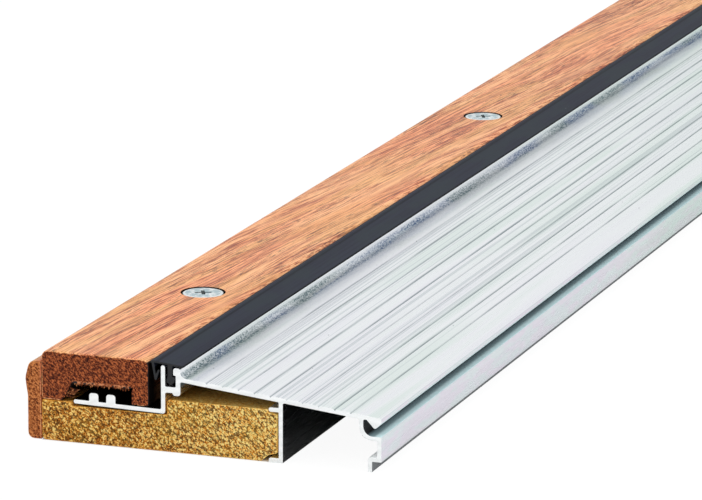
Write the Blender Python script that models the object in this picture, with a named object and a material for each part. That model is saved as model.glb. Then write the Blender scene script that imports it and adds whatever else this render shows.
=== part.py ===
"""Adjustable exterior-door sill, 36 in long: build its pieces as separate solids.

The sill runs along X. +Y is the room side, -Y the weather side, +Z is up, and
the origin is on the ground at the middle of the length and of the width.
Sizes below are millimetres; meshes are made in metres.
"""

import math

import bmesh
import bpy
from mathutils import Matrix, Vector

MM = 0.001

# Overall sizes
LENGTH = 914.4
HALF_WIDTH = 71.4375
CAP_TOP = 34.925
GAP = 0.3

# Aluminium extrusion
WALL = 1.75
WEB_IN = 16.2
WEB_OUT = WEB_IN - WALL
WEB_TOP = 33.4
FLANGE_TIP = 51.6
FLANGE_LOW = 14.6
FLANGE_RISE = 0.7
POST_WIDTH = 3.9
POST_TOP = 20.1
RACE_GAP = 3.0
TROUGH_FLOOR = 25.3
TROUGH_UNDER = 23.0
UPRIGHT_IN = 10.2
UPRIGHT_OUT = 8.3
BEAD_IN = 11.2
BEAD_LOW = 29.8
BEAD_TOP = 32.75
COVE_RADIUS = 2.6
DECK_HIGH = 29.3
DECK_SLOPE = 0.105
DECK_THICK = 1.8
LEG_OUT = -32.6
LEG_IN = LEG_OUT + WALL
TAB_TIP = -26.9
UPPER_TAB = (19.5, 21.2)
LOWER_TAB_TOP = 1.8

# Keel under the trough, where the deck starts
KEEL_LOW = 22.0
KEEL_IN = 11.0

# Tread grooves pressed along the deck
GROOVE_COUNT = 10
GROOVE_PITCH = 6.35
GROOVE_FIRST = -2.2
GROOVE_HALF_WIDTH = 0.5
GROOVE_DEPTH = 0.5
LAND_CROWN = 0.12
LAND_STEPS = 4

# Weather nose
LIP_FRONT_LOW = 18.9
LIP_TIP = (-68.7, 16.45)
SLOT_IN = -64.3
SLOT_LIP = -65.5
SLOT_TOP = 19.9
SLOT_FLOOR = 13.8
HOOK_IN = SLOT_IN + WALL
FASCIA_IN = -HALF_WIDTH + WALL
SHELF_LOW = 4.0
SHELF_HIGH = 5.75
FOOT_OUT = -67.8
FOOT_IN = FOOT_OUT + WALL

# Oak cap
CAP_OUT = 21.2
CAP_IN = 64.7
CAP_EDGE_RADIUS = 2.6
CHANNEL_OUT = 28.3
CHANNEL_IN_HIGH = 51.6
CHANNEL_IN_LOW = 55.4
CHANNEL_CEILING = 22.8
CAP_LEG_OUT_LOW = 16.8
CAP_LEG_IN_LOW = 16.0

# Oak nosing
NOSING_IN = CAP_IN + GAP
NOSING_TOP = 30.8
NOSING_LOWER_FACE = 70.5

# Composite substrate
BASE_IN = NOSING_IN - GAP
BASE_SHOULDER = 52.2
BASE_SHOULDER_TOP = 15.7
BASE_RECESS = 14.3
BASE_BLOCK_TOP = 20.3
BASE_BLOCK_IN = 13.9
BASE_OUT = LEG_IN + 2 * GAP

# Vinyl strip
STRIP_LIP = 20.6
STRIP_EDGE = 7.1
STRIP_TOP = 35.1
STRIP_THICK = 0.7
STRIP_SLOPE = DECK_SLOPE
STRIP_RIDGE_Y = 18.8
STRIP_RIDGE_HEIGHT = 0.12
STRIP_LIP_DROP = 0.45
STRIP_LIP_THICK = 0.6

# Adjusting screws and their retaining washers
SCREW_X = (-352.425, 0.0, 352.425)
SCREW_Y = 39.9
SHANK_RADIUS = 2.1
HOLE_RADIUS = 2.4
HEAD_RADIUS = 8.1
HEAD_UNDER = 32.3
HEAD_EDGE = 2.4
HEAD_DOME = 0.15
SCREW_TIP = 4.0
SCREW_POINT = 3.0
BORE_RADIUS = 8.85
BORE_FLOOR = 32.0
PILOT_FLOOR = 2.8
RETAINER_RADIUS = 5.0
RETAINER_THICK = 0.8
RECESS_REACH = 3.4
RECESS_WIDTH = 0.75
RECESS_DEPTH = 1.9

# Where the drills stop, clear of the faces that they pass
DRILL_UNDER_FLANGE = 10.0
DRILL_OVER_POSTS = 24.0
DRILL_OVER_FLANGE = 19.0
DRILL_UNDER_CEILING = 20.0
DRILL_OVER_RECESS = 18.0
DRILL_IN_NOSING = 60.0
DRILL_OUT_OF_NOSING = 75.0

# Small screws that hold the flange down on the substrate
FLANGE_SCREW_X = (-410.0, -140.0, 140.0, 410.0)
FLANGE_SCREW_Y = 31.4
FLANGE_SHANK_RADIUS = 1.4
FLANGE_HOLE_RADIUS = 1.7
FLANGE_HEAD_RADIUS = 2.6
FLANGE_HEAD_HEIGHT = 1.7
FLANGE_SCREW_TIP = 6.5
FLANGE_PILOT_FLOOR = 5.8

# Brads that hold the nosing on the substrate
BRAD_X = (-406.4, -203.2, 0.0, 203.2, 406.4)
BRAD_Z = 8.5
BRAD_RADIUS = 0.8
BRAD_HEAD_RADIUS = 1.1
BRAD_HOLE_RADIUS = 1.1
BRAD_COUNTERBORE = 1.4
BRAD_HEAD_Y = 69.6
BRAD_HEAD_THICK = 0.8
BRAD_TIP_Y = 46.0
BRAD_HOLE_END = 45.2

ROUND_STEP = math.radians(18)
SMOOTH_ANGLE = math.radians(32)


def clear_scene():
    """Remove every object of the open scene."""
    for item in list(bpy.data.objects):
        bpy.data.objects.remove(item, do_unlink=True)


def finish(name, colour, roughness, metallic):
    """Make a Principled material."""
    material = bpy.data.materials.new(name)
    material.use_nodes = True
    shader = material.node_tree.nodes["Principled BSDF"]
    shader.inputs["Base Color"].default_value = (*colour, 1.0)
    shader.inputs["Roughness"].default_value = roughness
    shader.inputs["Metallic"].default_value = metallic
    return material


def place(name, bm, material):
    """Turn a bmesh into a named, smooth-shaded object in the scene."""
    bmesh.ops.recalc_face_normals(bm, faces=bm.faces)
    mesh = bpy.data.meshes.new(name)
    bm.to_mesh(mesh)
    bm.free()
    mesh.shade_smooth()
    mesh.set_sharp_from_angle(angle=SMOOTH_ANGLE)
    item = bpy.data.objects.new(name, mesh)
    bpy.context.scene.collection.objects.link(item)
    if material is not None:
        mesh.materials.append(material)
    return item


def rounded(corners):
    """Turn (y, z, radius) corners into an outline with an arc at each corner."""
    outline = []
    for i, (y, z, radius) in enumerate(corners):
        here = Vector((y, z))
        if radius == 0:
            outline.append(here)
            continue
        back = (Vector(corners[i - 1][:2]) - here).normalized()
        ahead = (Vector(corners[(i + 1) % len(corners)][:2]) - here).normalized()
        half = back.angle(ahead) / 2
        centre = here + (back + ahead).normalized() * radius / math.sin(half)
        start = here + back * radius / math.tan(half) - centre
        turn = start.angle_signed(here + ahead * radius / math.tan(half) - centre)
        steps = max(1, round(abs(turn) / ROUND_STEP))
        for k in range(steps + 1):
            outline.append(centre + Matrix.Rotation(-turn * k / steps, 2) @ start)
    return outline


def extruded(name, outline, material):
    """Extrude an outline in the YZ plane over the whole length of the sill."""
    bm = bmesh.new()
    verts = [bm.verts.new((-LENGTH / 2 * MM, p[0] * MM, p[1] * MM)) for p in outline]
    end = bm.faces.new(verts)
    grown = bmesh.ops.extrude_face_region(bm, geom=[end], use_keep_orig=True)
    moved = [g for g in grown["geom"] if isinstance(g, bmesh.types.BMVert)]
    bmesh.ops.translate(bm, verts=moved, vec=(LENGTH * MM, 0, 0))
    return place(name, bm, material)


def turned(bm, profile, segments, axis_place):
    """Turn a (radius, height) profile about local Z, then move it by a matrix.

    The profile starts and ends on the axis, or closes on itself for a ring.
    """
    verts = [bm.verts.new((r * MM, 0, h * MM)) for r, h in profile]
    pairs = list(zip(verts, verts[1:]))
    if profile[0][0] > 0:
        pairs.append((verts[-1], verts[0]))
    edges = [bm.edges.new(pair) for pair in pairs]
    bmesh.ops.spin(
        bm, geom=verts + edges, cent=(0, 0, 0), axis=(0, 0, 1),
        angle=2 * math.pi, steps=segments, use_merge=True)
    made = {v for f in bm.faces if f.is_valid for v in f.verts if not v.tag}
    for v in made:
        v.tag = True
        v.co = axis_place @ v.co


def rod(bm, radius, low, high, axis_place, segments=24):
    """Add a plain closed cylinder along local Z from low to high."""
    turned(bm, [(0, low), (radius, low), (radius, high), (0, high)], segments, axis_place)


def close_poles(bm):
    """Merge the points that a turned profile leaves on its axis."""
    bmesh.ops.remove_doubles(bm, verts=bm.verts, dist=0.00001)


def upright(x, y):
    """Give the matrix of a vertical axis at (x, y)."""
    return Matrix.Translation((x * MM, y * MM, 0))


def toward_room(x, z):
    """Give the matrix of an axis along +Y at (x, z)."""
    return Matrix.Translation((x * MM, 0, z * MM)) @ Matrix.Rotation(-math.pi / 2, 4, "X")


def cut(target, name, bm):
    """Cut a closed cutter mesh out of a piece."""
    cutter = place(name, bm, None)
    cutter.hide_render = True
    cutter.display_type = "WIRE"
    boolean = target.modifiers.new(name, "BOOLEAN")
    boolean.operation = "DIFFERENCE"
    boolean.solver = "EXACT"
    boolean.object = cutter


def drill(target, name, holes):
    """Cut round holes: each hole is (radius, low, high, matrix of its axis)."""
    bm = bmesh.new()
    for radius, low, high, axis_place in holes:
        rod(bm, radius, low, high, axis_place)
    close_poles(bm)
    cut(target, name, bm)


def flange_under(y):
    """Height of the flange's lower face, which rises to its tip."""
    return FLANGE_LOW + FLANGE_RISE * (y - WEB_OUT) / (FLANGE_TIP - WEB_OUT)


def flange_over(y):
    """Height of the flange's upper face."""
    return flange_under(y) + WALL


def deck_over(y):
    """Height of the sloping deck's upper face."""
    return DECK_HIGH + DECK_SLOPE * (y - UPRIGHT_OUT)


def deck_under(y):
    """Height of the sloping deck's lower face."""
    return deck_over(y) - DECK_THICK


def race_posts():
    """The flange's upper side: two round-topped posts with the screw race between."""
    corners = []
    for centre in (SCREW_Y + (RACE_GAP + POST_WIDTH) / 2, SCREW_Y - (RACE_GAP + POST_WIDTH) / 2):
        room, weather = centre + POST_WIDTH / 2, centre - POST_WIDTH / 2
        corners += [
            (room, flange_over(room), 0.3), (room, POST_TOP, 1.2),
            (weather, POST_TOP, 1.2), (weather, flange_over(weather), 0.3)]
    return corners


def tread():
    """The deck's upper side: crowned lands between V grooves."""
    corners = []
    for k in range(GROOVE_COUNT):
        y = GROOVE_FIRST - k * GROOVE_PITCH
        room, weather = y + GROOVE_HALF_WIDTH, y - GROOVE_HALF_WIDTH
        corners += [
            (room, deck_over(room), 0), (y, deck_over(y) - GROOVE_DEPTH, 0),
            (weather, deck_over(weather), 0)]
        if k + 1 < GROOVE_COUNT:
            land = GROOVE_PITCH - 2 * GROOVE_HALF_WIDTH
            for step in range(1, LAND_STEPS):
                part = step / LAND_STEPS
                at = weather - land * part
                corners.append((at, deck_over(at) + LAND_CROWN * math.sin(math.pi * part), 0))
    return corners


def sill_corners():
    """Corners of the aluminium section, along its top to the weather and back below."""
    flange = [(FLANGE_TIP, flange_over(FLANGE_TIP), 0.8)] + race_posts()
    web = [(WEB_IN, flange_over(WEB_IN), 0.5), (WEB_IN, WEB_TOP, 0.8), (WEB_OUT, WEB_TOP, 0.8)]
    trough = [
        (WEB_OUT, TROUGH_FLOOR, 0.5), (UPRIGHT_IN, TROUGH_FLOOR, 0.5),
        (UPRIGHT_IN, BEAD_LOW, 0.3), (BEAD_IN, BEAD_LOW, 0.45),
        (BEAD_IN, BEAD_TOP, 1.0), (UPRIGHT_OUT, BEAD_TOP, 1.0),
        (UPRIGHT_OUT, deck_over(UPRIGHT_OUT), COVE_RADIUS)]
    lip = [
        (-HALF_WIDTH, deck_over(-HALF_WIDTH), 1.2), (-HALF_WIDTH, LIP_FRONT_LOW, 1.8),
        (*LIP_TIP, 0.9), (SLOT_LIP, SLOT_TOP, 0.3), (SLOT_IN, SLOT_TOP, 0.5),
        (SLOT_IN, SLOT_FLOOR, 3.6), (-HALF_WIDTH, SLOT_FLOOR, 0.5)]
    fascia = [
        (-HALF_WIDTH, SHELF_LOW, 0.4), (FOOT_OUT, SHELF_LOW, 0.2), (FOOT_OUT, 0, 0.3),
        (FOOT_IN, 0, 0.3), (FOOT_IN, SHELF_HIGH, 0.9), (FASCIA_IN, SHELF_HIGH, 0.3),
        (FASCIA_IN, SLOT_FLOOR - WALL, 0.6), (HOOK_IN, SLOT_FLOOR - WALL, 5.0),
        (HOOK_IN, deck_under(HOOK_IN), 1.0)]
    leg = [
        (LEG_OUT, deck_under(LEG_OUT), 0.6), (LEG_OUT, 0, 0.3), (TAB_TIP, 0, 0.3),
        (TAB_TIP, LOWER_TAB_TOP, 0.8), (LEG_IN, LOWER_TAB_TOP, 0.3),
        (LEG_IN, UPPER_TAB[0], 0.3), (TAB_TIP, UPPER_TAB[0], 0.8),
        (TAB_TIP, UPPER_TAB[1], 0.8), (LEG_IN, UPPER_TAB[1], 0.3),
        (LEG_IN, deck_under(LEG_IN), 0.4)]
    keel = [
        (UPRIGHT_OUT, deck_under(UPRIGHT_OUT), 0.6), (UPRIGHT_OUT, KEEL_LOW, 1.2),
        (KEEL_IN, KEEL_LOW, 0.6), (KEEL_IN + 0.6, TROUGH_UNDER, 0.3), (WEB_OUT, TROUGH_UNDER, 0.6)]
    corner = [(WEB_OUT, flange_under(WEB_OUT), 1.2), (FLANGE_TIP, flange_under(FLANGE_TIP), 0.8)]
    return flange + web + trough + tread() + lip + fascia + leg + keel + corner


def aluminium_sill():
    """The one-piece extrusion: flange, web, trough, deck, leg and weather nose."""
    metal = finish("mill_aluminium", (0.80, 0.82, 0.82), 0.32, 1.0)
    sill = extruded("aluminium_sill", rounded(sill_corners()), metal)
    holes = [
        (HOLE_RADIUS, DRILL_UNDER_FLANGE, DRILL_OVER_POSTS, upright(x, SCREW_Y)) for x in SCREW_X]
    holes += [
        (FLANGE_HOLE_RADIUS, DRILL_UNDER_FLANGE, DRILL_OVER_FLANGE, upright(x, FLANGE_SCREW_Y))
        for x in FLANGE_SCREW_X]
    drill(sill, "sill_holes", holes)


def hardwood_cap():
    """The oak cap that the screws lift, with its counterbores and lower channel."""
    oak = finish("cap_oak", (0.76, 0.42, 0.22), 0.5, 0.0)
    corners = [
        (CAP_OUT, CAP_TOP, CAP_EDGE_RADIUS), (CAP_IN, CAP_TOP, CAP_EDGE_RADIUS),
        (CAP_IN, CAP_LEG_IN_LOW, 0.6), (CHANNEL_IN_LOW, CAP_LEG_IN_LOW, 0.5),
        (CHANNEL_IN_HIGH, CHANNEL_CEILING, 0.8), (CHANNEL_OUT, CHANNEL_CEILING, 0.8),
        (CHANNEL_OUT, CAP_LEG_OUT_LOW, 0.5), (CAP_OUT, CAP_LEG_OUT_LOW, 0.6)]
    cap = extruded("hardwood_cap", rounded(corners), oak)
    holes = [
        (HOLE_RADIUS, DRILL_UNDER_CEILING, BORE_FLOOR + 1, upright(x, SCREW_Y)) for x in SCREW_X]
    drill(cap, "cap_screw_holes", holes)
    bm = bmesh.new()
    for x in SCREW_X:
        rod(bm, BORE_RADIUS, BORE_FLOOR, CAP_TOP + 2, upright(x, SCREW_Y), segments=48)
    close_poles(bm)
    cut(cap, "cap_counterbores", bm)


def hardwood_nosing():
    """The oak nosing on the room side, with its brad holes."""
    oak = finish("nosing_oak", (0.50, 0.22, 0.11), 0.5, 0.0)
    corners = [
        (NOSING_IN, NOSING_TOP, 0.4), (69.8, 30.3, 3.4), (HALF_WIDTH + 0.05, 23.6, 3.0),
        (NOSING_LOWER_FACE, 16.5, 3.0), (NOSING_LOWER_FACE, 0, 2.5), (NOSING_IN, 0, 0.3)]
    nosing = extruded("hardwood_nosing", rounded(corners), oak)
    holes = [
        (BRAD_HOLE_RADIUS, DRILL_IN_NOSING, BRAD_HEAD_Y, toward_room(x, BRAD_Z)) for x in BRAD_X]
    drill(nosing, "nosing_brad_holes", holes)
    mouths = [
        (BRAD_COUNTERBORE, BRAD_HEAD_Y - BRAD_HEAD_THICK - GAP, DRILL_OUT_OF_NOSING,
         toward_room(x, BRAD_Z)) for x in BRAD_X]
    drill(nosing, "nosing_brad_mouths", mouths)


def composite_substrate():
    """The composite base that carries the extrusion and meets the subfloor."""
    board = finish("composite_board", (0.62, 0.42, 0.15), 0.8, 0.0)
    corners = [
        (BASE_IN, BASE_SHOULDER_TOP, 0.6), (BASE_SHOULDER, BASE_SHOULDER_TOP, 0.3),
        (BASE_SHOULDER, BASE_RECESS, 0.3), (BASE_BLOCK_IN, BASE_RECESS, 0.3),
        (BASE_BLOCK_IN, BASE_BLOCK_TOP, 1.4), (TAB_TIP + 0.4, BASE_BLOCK_TOP, 0.3),
        (TAB_TIP + 0.4, UPPER_TAB[0] - 0.5, 0.2), (BASE_OUT, UPPER_TAB[0] - 1.1, 0.4),
        (BASE_OUT, 3.6, 0.5), (TAB_TIP + 0.4, LOWER_TAB_TOP + 0.6, 0.6),
        (TAB_TIP + 3.2, 0, 0.4), (BASE_IN, 0, 1.6)]
    base = extruded("composite_substrate", rounded(corners), board)
    pilots = [
        (HOLE_RADIUS, PILOT_FLOOR, DRILL_OVER_RECESS, upright(x, SCREW_Y)) for x in SCREW_X]
    pilots += [
        (FLANGE_HOLE_RADIUS, FLANGE_PILOT_FLOOR, DRILL_OVER_RECESS, upright(x, FLANGE_SCREW_Y))
        for x in FLANGE_SCREW_X]
    pilots += [
        (BRAD_HOLE_RADIUS, BRAD_HOLE_END, BASE_IN + 1, toward_room(x, BRAD_Z)) for x in BRAD_X]
    drill(base, "substrate_pilots", pilots)


def strip_over(y):
    """Height of the vinyl strip's upper face."""
    return STRIP_TOP - STRIP_SLOPE * (STRIP_LIP - y)


def strip_under(y):
    """Height of the vinyl strip's lower face."""
    return strip_over(y) - STRIP_THICK


def vinyl_seal_strip():
    """The vinyl strip: sloping cover, folded fin beside the cap, barbed leg in the trough."""
    vinyl = finish("charcoal_vinyl", (0.045, 0.047, 0.062), 0.42, 0.0)
    lip_top = strip_over(STRIP_LIP) - STRIP_LIP_DROP
    cover = [
        (STRIP_LIP, lip_top, 0.25),
        (STRIP_RIDGE_Y, strip_over(STRIP_RIDGE_Y) + STRIP_RIDGE_HEIGHT, 0.3),
        (STRIP_RIDGE_Y - 0.7, strip_over(STRIP_RIDGE_Y - 0.7), 0.3),
        (STRIP_EDGE, strip_over(STRIP_EDGE), 0.3),
        (STRIP_EDGE, strip_under(STRIP_EDGE), 0.3)]
    barb = [
        (11.6, strip_under(11.6), 0.2), (11.6, 29.3, 0.2), (10.5, 29.2, 0.2), (10.6, 27.4, 0.7),
        (12.2, 25.7, 0.6), (14.1, 27.4, 0.7), (13.5, 29.4, 0.5), (13.5, strip_under(13.5), 0.2)]
    fin = [
        (18.9, strip_under(18.9), 0.2), (18.2, 29.6, 0.15), (17.3, 31.7, 0.2), (16.6, 31.4, 0.2),
        (17.9, 27.5, 0.4), (18.7, 27.5, 0.4), (19.9, lip_top - STRIP_LIP_THICK, 0.1),
        (STRIP_LIP, lip_top - STRIP_LIP_THICK, 0.25)]
    extruded("vinyl_seal_strip", rounded(cover + barb + fin), vinyl)


def cross_cutter():
    """A tapered cross-shaped cutter for a screw's driving recess."""
    bm = bmesh.new()
    rings = []
    for height, size in ((HEAD_UNDER + HEAD_EDGE + HEAD_DOME + 0.4, 1.0),
                         (HEAD_UNDER + HEAD_EDGE + HEAD_DOME - RECESS_DEPTH, 0.5)):
        reach, width = RECESS_REACH * size, RECESS_WIDTH * (0.5 + size / 2)
        ring = []
        for quarter in range(4):
            turn = Matrix.Rotation(quarter * math.pi / 2, 3, "Z")
            for x, y in ((width, width), (reach, width), (reach, -width)):
                ring.append(bm.verts.new(turn.inverted() @ Vector((x, y, height)) * MM))
        rings.append(ring)
    bm.faces.new(rings[0])
    bm.faces.new(rings[1])
    for i in range(12):
        j = (i + 1) % 12
        bm.faces.new((rings[0][i], rings[0][j], rings[1][j], rings[1][i]))
    return bm


def adjusting_screw(number, x, zinc):
    """One broad-headed adjusting screw, its head down in the cap's counterbore."""
    dome_radius = (HEAD_RADIUS ** 2 + HEAD_DOME ** 2) / (2 * HEAD_DOME)
    dome_top = HEAD_UNDER + HEAD_EDGE + HEAD_DOME
    profile = [
        (0, SCREW_TIP), (SHANK_RADIUS, SCREW_TIP + SCREW_POINT), (SHANK_RADIUS, HEAD_UNDER),
        (HEAD_RADIUS - 0.3, HEAD_UNDER), (HEAD_RADIUS, HEAD_UNDER + 0.3)]
    for step in range(7):
        r = HEAD_RADIUS * (1 - step / 6)
        profile.append((r, dome_top - dome_radius + math.sqrt(dome_radius ** 2 - r ** 2)))
    bm = bmesh.new()
    turned(bm, profile, 40, Matrix.Identity(4))
    close_poles(bm)
    screw = place(f"adjusting_screw_{number}", bm, zinc)
    screw.location = (x * MM, SCREW_Y * MM, 0)
    recess = cross_cutter()
    bmesh.ops.translate(recess, verts=recess.verts, vec=(x * MM, SCREW_Y * MM, 0))
    cut(screw, f"recess_{number}", recess)


def screw_retainer(number, x, steel):
    """One push-on washer under the channel's ceiling, which keeps screw and cap together."""
    high = CHANNEL_CEILING - GAP
    low = high - RETAINER_THICK
    bm = bmesh.new()
    profile = [
        (HOLE_RADIUS, low), (RETAINER_RADIUS, low), (RETAINER_RADIUS, high), (HOLE_RADIUS, high)]
    turned(bm, profile, 32, Matrix.Identity(4))
    close_poles(bm)
    washer = place(f"screw_retainer_{number}", bm, steel)
    washer.location = (x * MM, SCREW_Y * MM, 0)


def flange_screw(number, x, steel):
    """One small pan-head screw through the flange into the substrate."""
    under = flange_over(FLANGE_SCREW_Y) + GAP
    top = under + FLANGE_HEAD_HEIGHT
    profile = [
        (0, FLANGE_SCREW_TIP), (FLANGE_SHANK_RADIUS, FLANGE_SCREW_TIP + 2),
        (FLANGE_SHANK_RADIUS, under), (FLANGE_HEAD_RADIUS, under),
        (FLANGE_HEAD_RADIUS, top - 0.7), (FLANGE_HEAD_RADIUS * 0.7, top - 0.1), (0, top)]
    bm = bmesh.new()
    turned(bm, profile, 20, Matrix.Identity(4))
    close_poles(bm)
    screw = place(f"flange_screw_{number}", bm, steel)
    screw.location = (x * MM, FLANGE_SCREW_Y * MM, 0)


def nosing_brad(number, x, steel):
    """One brad through the nosing into the substrate, its head set below the face."""
    profile = [
        (0, BRAD_TIP_Y), (BRAD_RADIUS, BRAD_TIP_Y + 1.5),
        (BRAD_RADIUS, BRAD_HEAD_Y - BRAD_HEAD_THICK), (BRAD_HEAD_RADIUS, BRAD_HEAD_Y - 0.4),
        (BRAD_HEAD_RADIUS, BRAD_HEAD_Y), (0, BRAD_HEAD_Y)]
    bm = bmesh.new()
    turned(bm, profile, 16, Matrix.Identity(4))
    close_poles(bm)
    brad = place(f"nosing_brad_{number}", bm, steel)
    brad.location = (x * MM, 0, BRAD_Z * MM)
    brad.rotation_euler = (-math.pi / 2, 0, 0)


def main():
    """Build every piece of the sill."""
    clear_scene()
    aluminium_sill()
    hardwood_cap()
    hardwood_nosing()
    composite_substrate()
    vinyl_seal_strip()
    zinc = finish("zinc_plate", (0.66, 0.66, 0.62), 0.35, 1.0)
    steel = finish("plain_steel", (0.50, 0.50, 0.50), 0.4, 1.0)
    for number, x in enumerate(SCREW_X, 1):
        adjusting_screw(number, x, zinc)
        screw_retainer(number, x, steel)
    for number, x in enumerate(FLANGE_SCREW_X, 1):
        flange_screw(number, x, steel)
    for number, x in enumerate(BRAD_X, 1):
        nosing_brad(number, x, steel)


main()
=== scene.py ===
"""Looks of an adjustable exterior-door sill: fine meshes, finishes, studio light and camera.

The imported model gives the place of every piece. Each long piece is remade from the section of
its own node, so it stays where it was designed, and gains sawn ends, broken edges and a finish.
Fasteners are turned anew about the middles of their nodes. Sizes are in millimetres unless they
say otherwise, and angles in degrees.
"""

from __future__ import annotations

import logging
import math
from collections.abc import Callable, Sequence
from dataclasses import dataclass, field
from enum import Enum
from functools import cache

import bmesh
import bpy
from mathutils import Matrix, Vector, geometry, noise


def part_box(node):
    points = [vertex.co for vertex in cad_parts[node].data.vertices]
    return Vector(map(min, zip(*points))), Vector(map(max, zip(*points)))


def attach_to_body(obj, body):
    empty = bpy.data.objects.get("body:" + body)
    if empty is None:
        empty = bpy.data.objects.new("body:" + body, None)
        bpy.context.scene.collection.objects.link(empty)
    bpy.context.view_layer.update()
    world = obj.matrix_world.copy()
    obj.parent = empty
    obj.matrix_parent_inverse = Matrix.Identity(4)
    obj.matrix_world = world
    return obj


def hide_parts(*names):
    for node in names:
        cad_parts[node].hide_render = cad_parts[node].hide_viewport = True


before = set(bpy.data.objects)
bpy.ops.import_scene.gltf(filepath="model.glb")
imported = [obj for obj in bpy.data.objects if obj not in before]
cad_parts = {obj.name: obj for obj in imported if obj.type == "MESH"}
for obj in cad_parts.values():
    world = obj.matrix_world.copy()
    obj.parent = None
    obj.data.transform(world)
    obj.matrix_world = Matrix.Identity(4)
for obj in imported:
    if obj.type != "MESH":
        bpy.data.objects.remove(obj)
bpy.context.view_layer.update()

MM = 0.001
DIAGONAL = 0.7
LOG = logging.getLogger("door_sill")

Colour = tuple[float, float, float]
Number = "Value | float"


class Body(str, Enum):
    """The bodies that pieces ride on."""

    SILL = "sill"
    CAP = "cap"


class Slot(str, Enum):
    """The material slots."""

    ALUMINIUM = "mill_aluminium"
    CAP_OAK = "cap_oak"
    NOSING_OAK = "nosing_oak"
    BOARD = "composite_board"
    VINYL = "charcoal_vinyl"
    ZINC = "zinc_plate"
    STEEL = "plain_steel"


class Face(int, Enum):
    """Which of a piece's finishes a face takes."""

    SIDE = 0
    SAWN = 1
    TORN = 2


def linear(red: int, green: int, blue: int) -> Colour:
    """Turn a display colour, 0 to 255, into the linear colour that shaders use.

    Args:
        red: The red channel.
        green: The green channel.
        blue: The blue channel.

    Returns:
        The three linear channels, 0 to 1.
    """
    channels = []
    for channel in (red, green, blue):
        share = channel / 255
        channels.append(share / 12.92 if share <= 0.04045 else ((share + 0.055) / 1.055) ** 2.4)
    return channels[0], channels[1], channels[2]


# ---------------------------------------------------------------- shader expressions


class Value:
    """A number that changes over a surface: a socket with Python's operators."""

    def __init__(self, graph: Graph, socket: bpy.types.NodeSocket) -> None:
        """Wrap an output socket of a graph."""
        self.graph = graph
        self.socket = socket

    def _math(self, operation: str, *operands: Number) -> Value:
        """Add one Math node.

        Args:
            operation: The Math node's operation.
            operands: Its inputs in order, values or plain numbers.

        Returns:
            The node's result.
        """
        sockets = {i: operand for i, operand in enumerate(operands)}
        return Value(self.graph, self.graph.node("Math", {"operation": operation}, sockets).outputs[0])

    def __add__(self, other: Number) -> Value:
        """Add."""
        return self._math("ADD", self, other)

    def __radd__(self, other: Number) -> Value:
        """Add to a plain number."""
        return self._math("ADD", other, self)

    def __sub__(self, other: Number) -> Value:
        """Subtract."""
        return self._math("SUBTRACT", self, other)

    def __rsub__(self, other: Number) -> Value:
        """Subtract from a plain number."""
        return self._math("SUBTRACT", other, self)

    def __mul__(self, other: Number) -> Value:
        """Multiply."""
        return self._math("MULTIPLY", self, other)

    def __rmul__(self, other: Number) -> Value:
        """Multiply a plain number."""
        return self._math("MULTIPLY", other, self)

    def power(self, exponent: float) -> Value:
        """Raise to a power."""
        return self._math("POWER", self, exponent)

    def size(self) -> Value:
        """Drop the sign."""
        return self._math("ABSOLUTE", self)

    def sine(self) -> Value:
        """Take the sine of an angle in radians."""
        return self._math("SINE", self)

    def wrapped(self, period: float) -> Value:
        """Give the signed distance to the nearest multiple of a period."""
        return self._math("WRAP", self, period / 2, -period / 2)

    def rising(self, low: float, high: float) -> Value:
        """Rise smoothly from 0 at low to 1 at high."""
        settings = {"interpolation_type": "SMOOTHSTEP"}
        sockets = {"Value": self, "From Min": low, "From Max": high}
        return Value(self.graph, self.graph.node("MapRange", settings, sockets).outputs[0])

    def falling(self, low: float, high: float) -> Value:
        """Fall smoothly from 1 at low to 0 at high."""
        return 1.0 - self.rising(low, high)

    def band(self, low: float, high: float, soft: float) -> Value:
        """Be 1 between low and high, with soft shoulders outside."""
        return self.rising(low - soft, low) * self.falling(high, high + soft)


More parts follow.
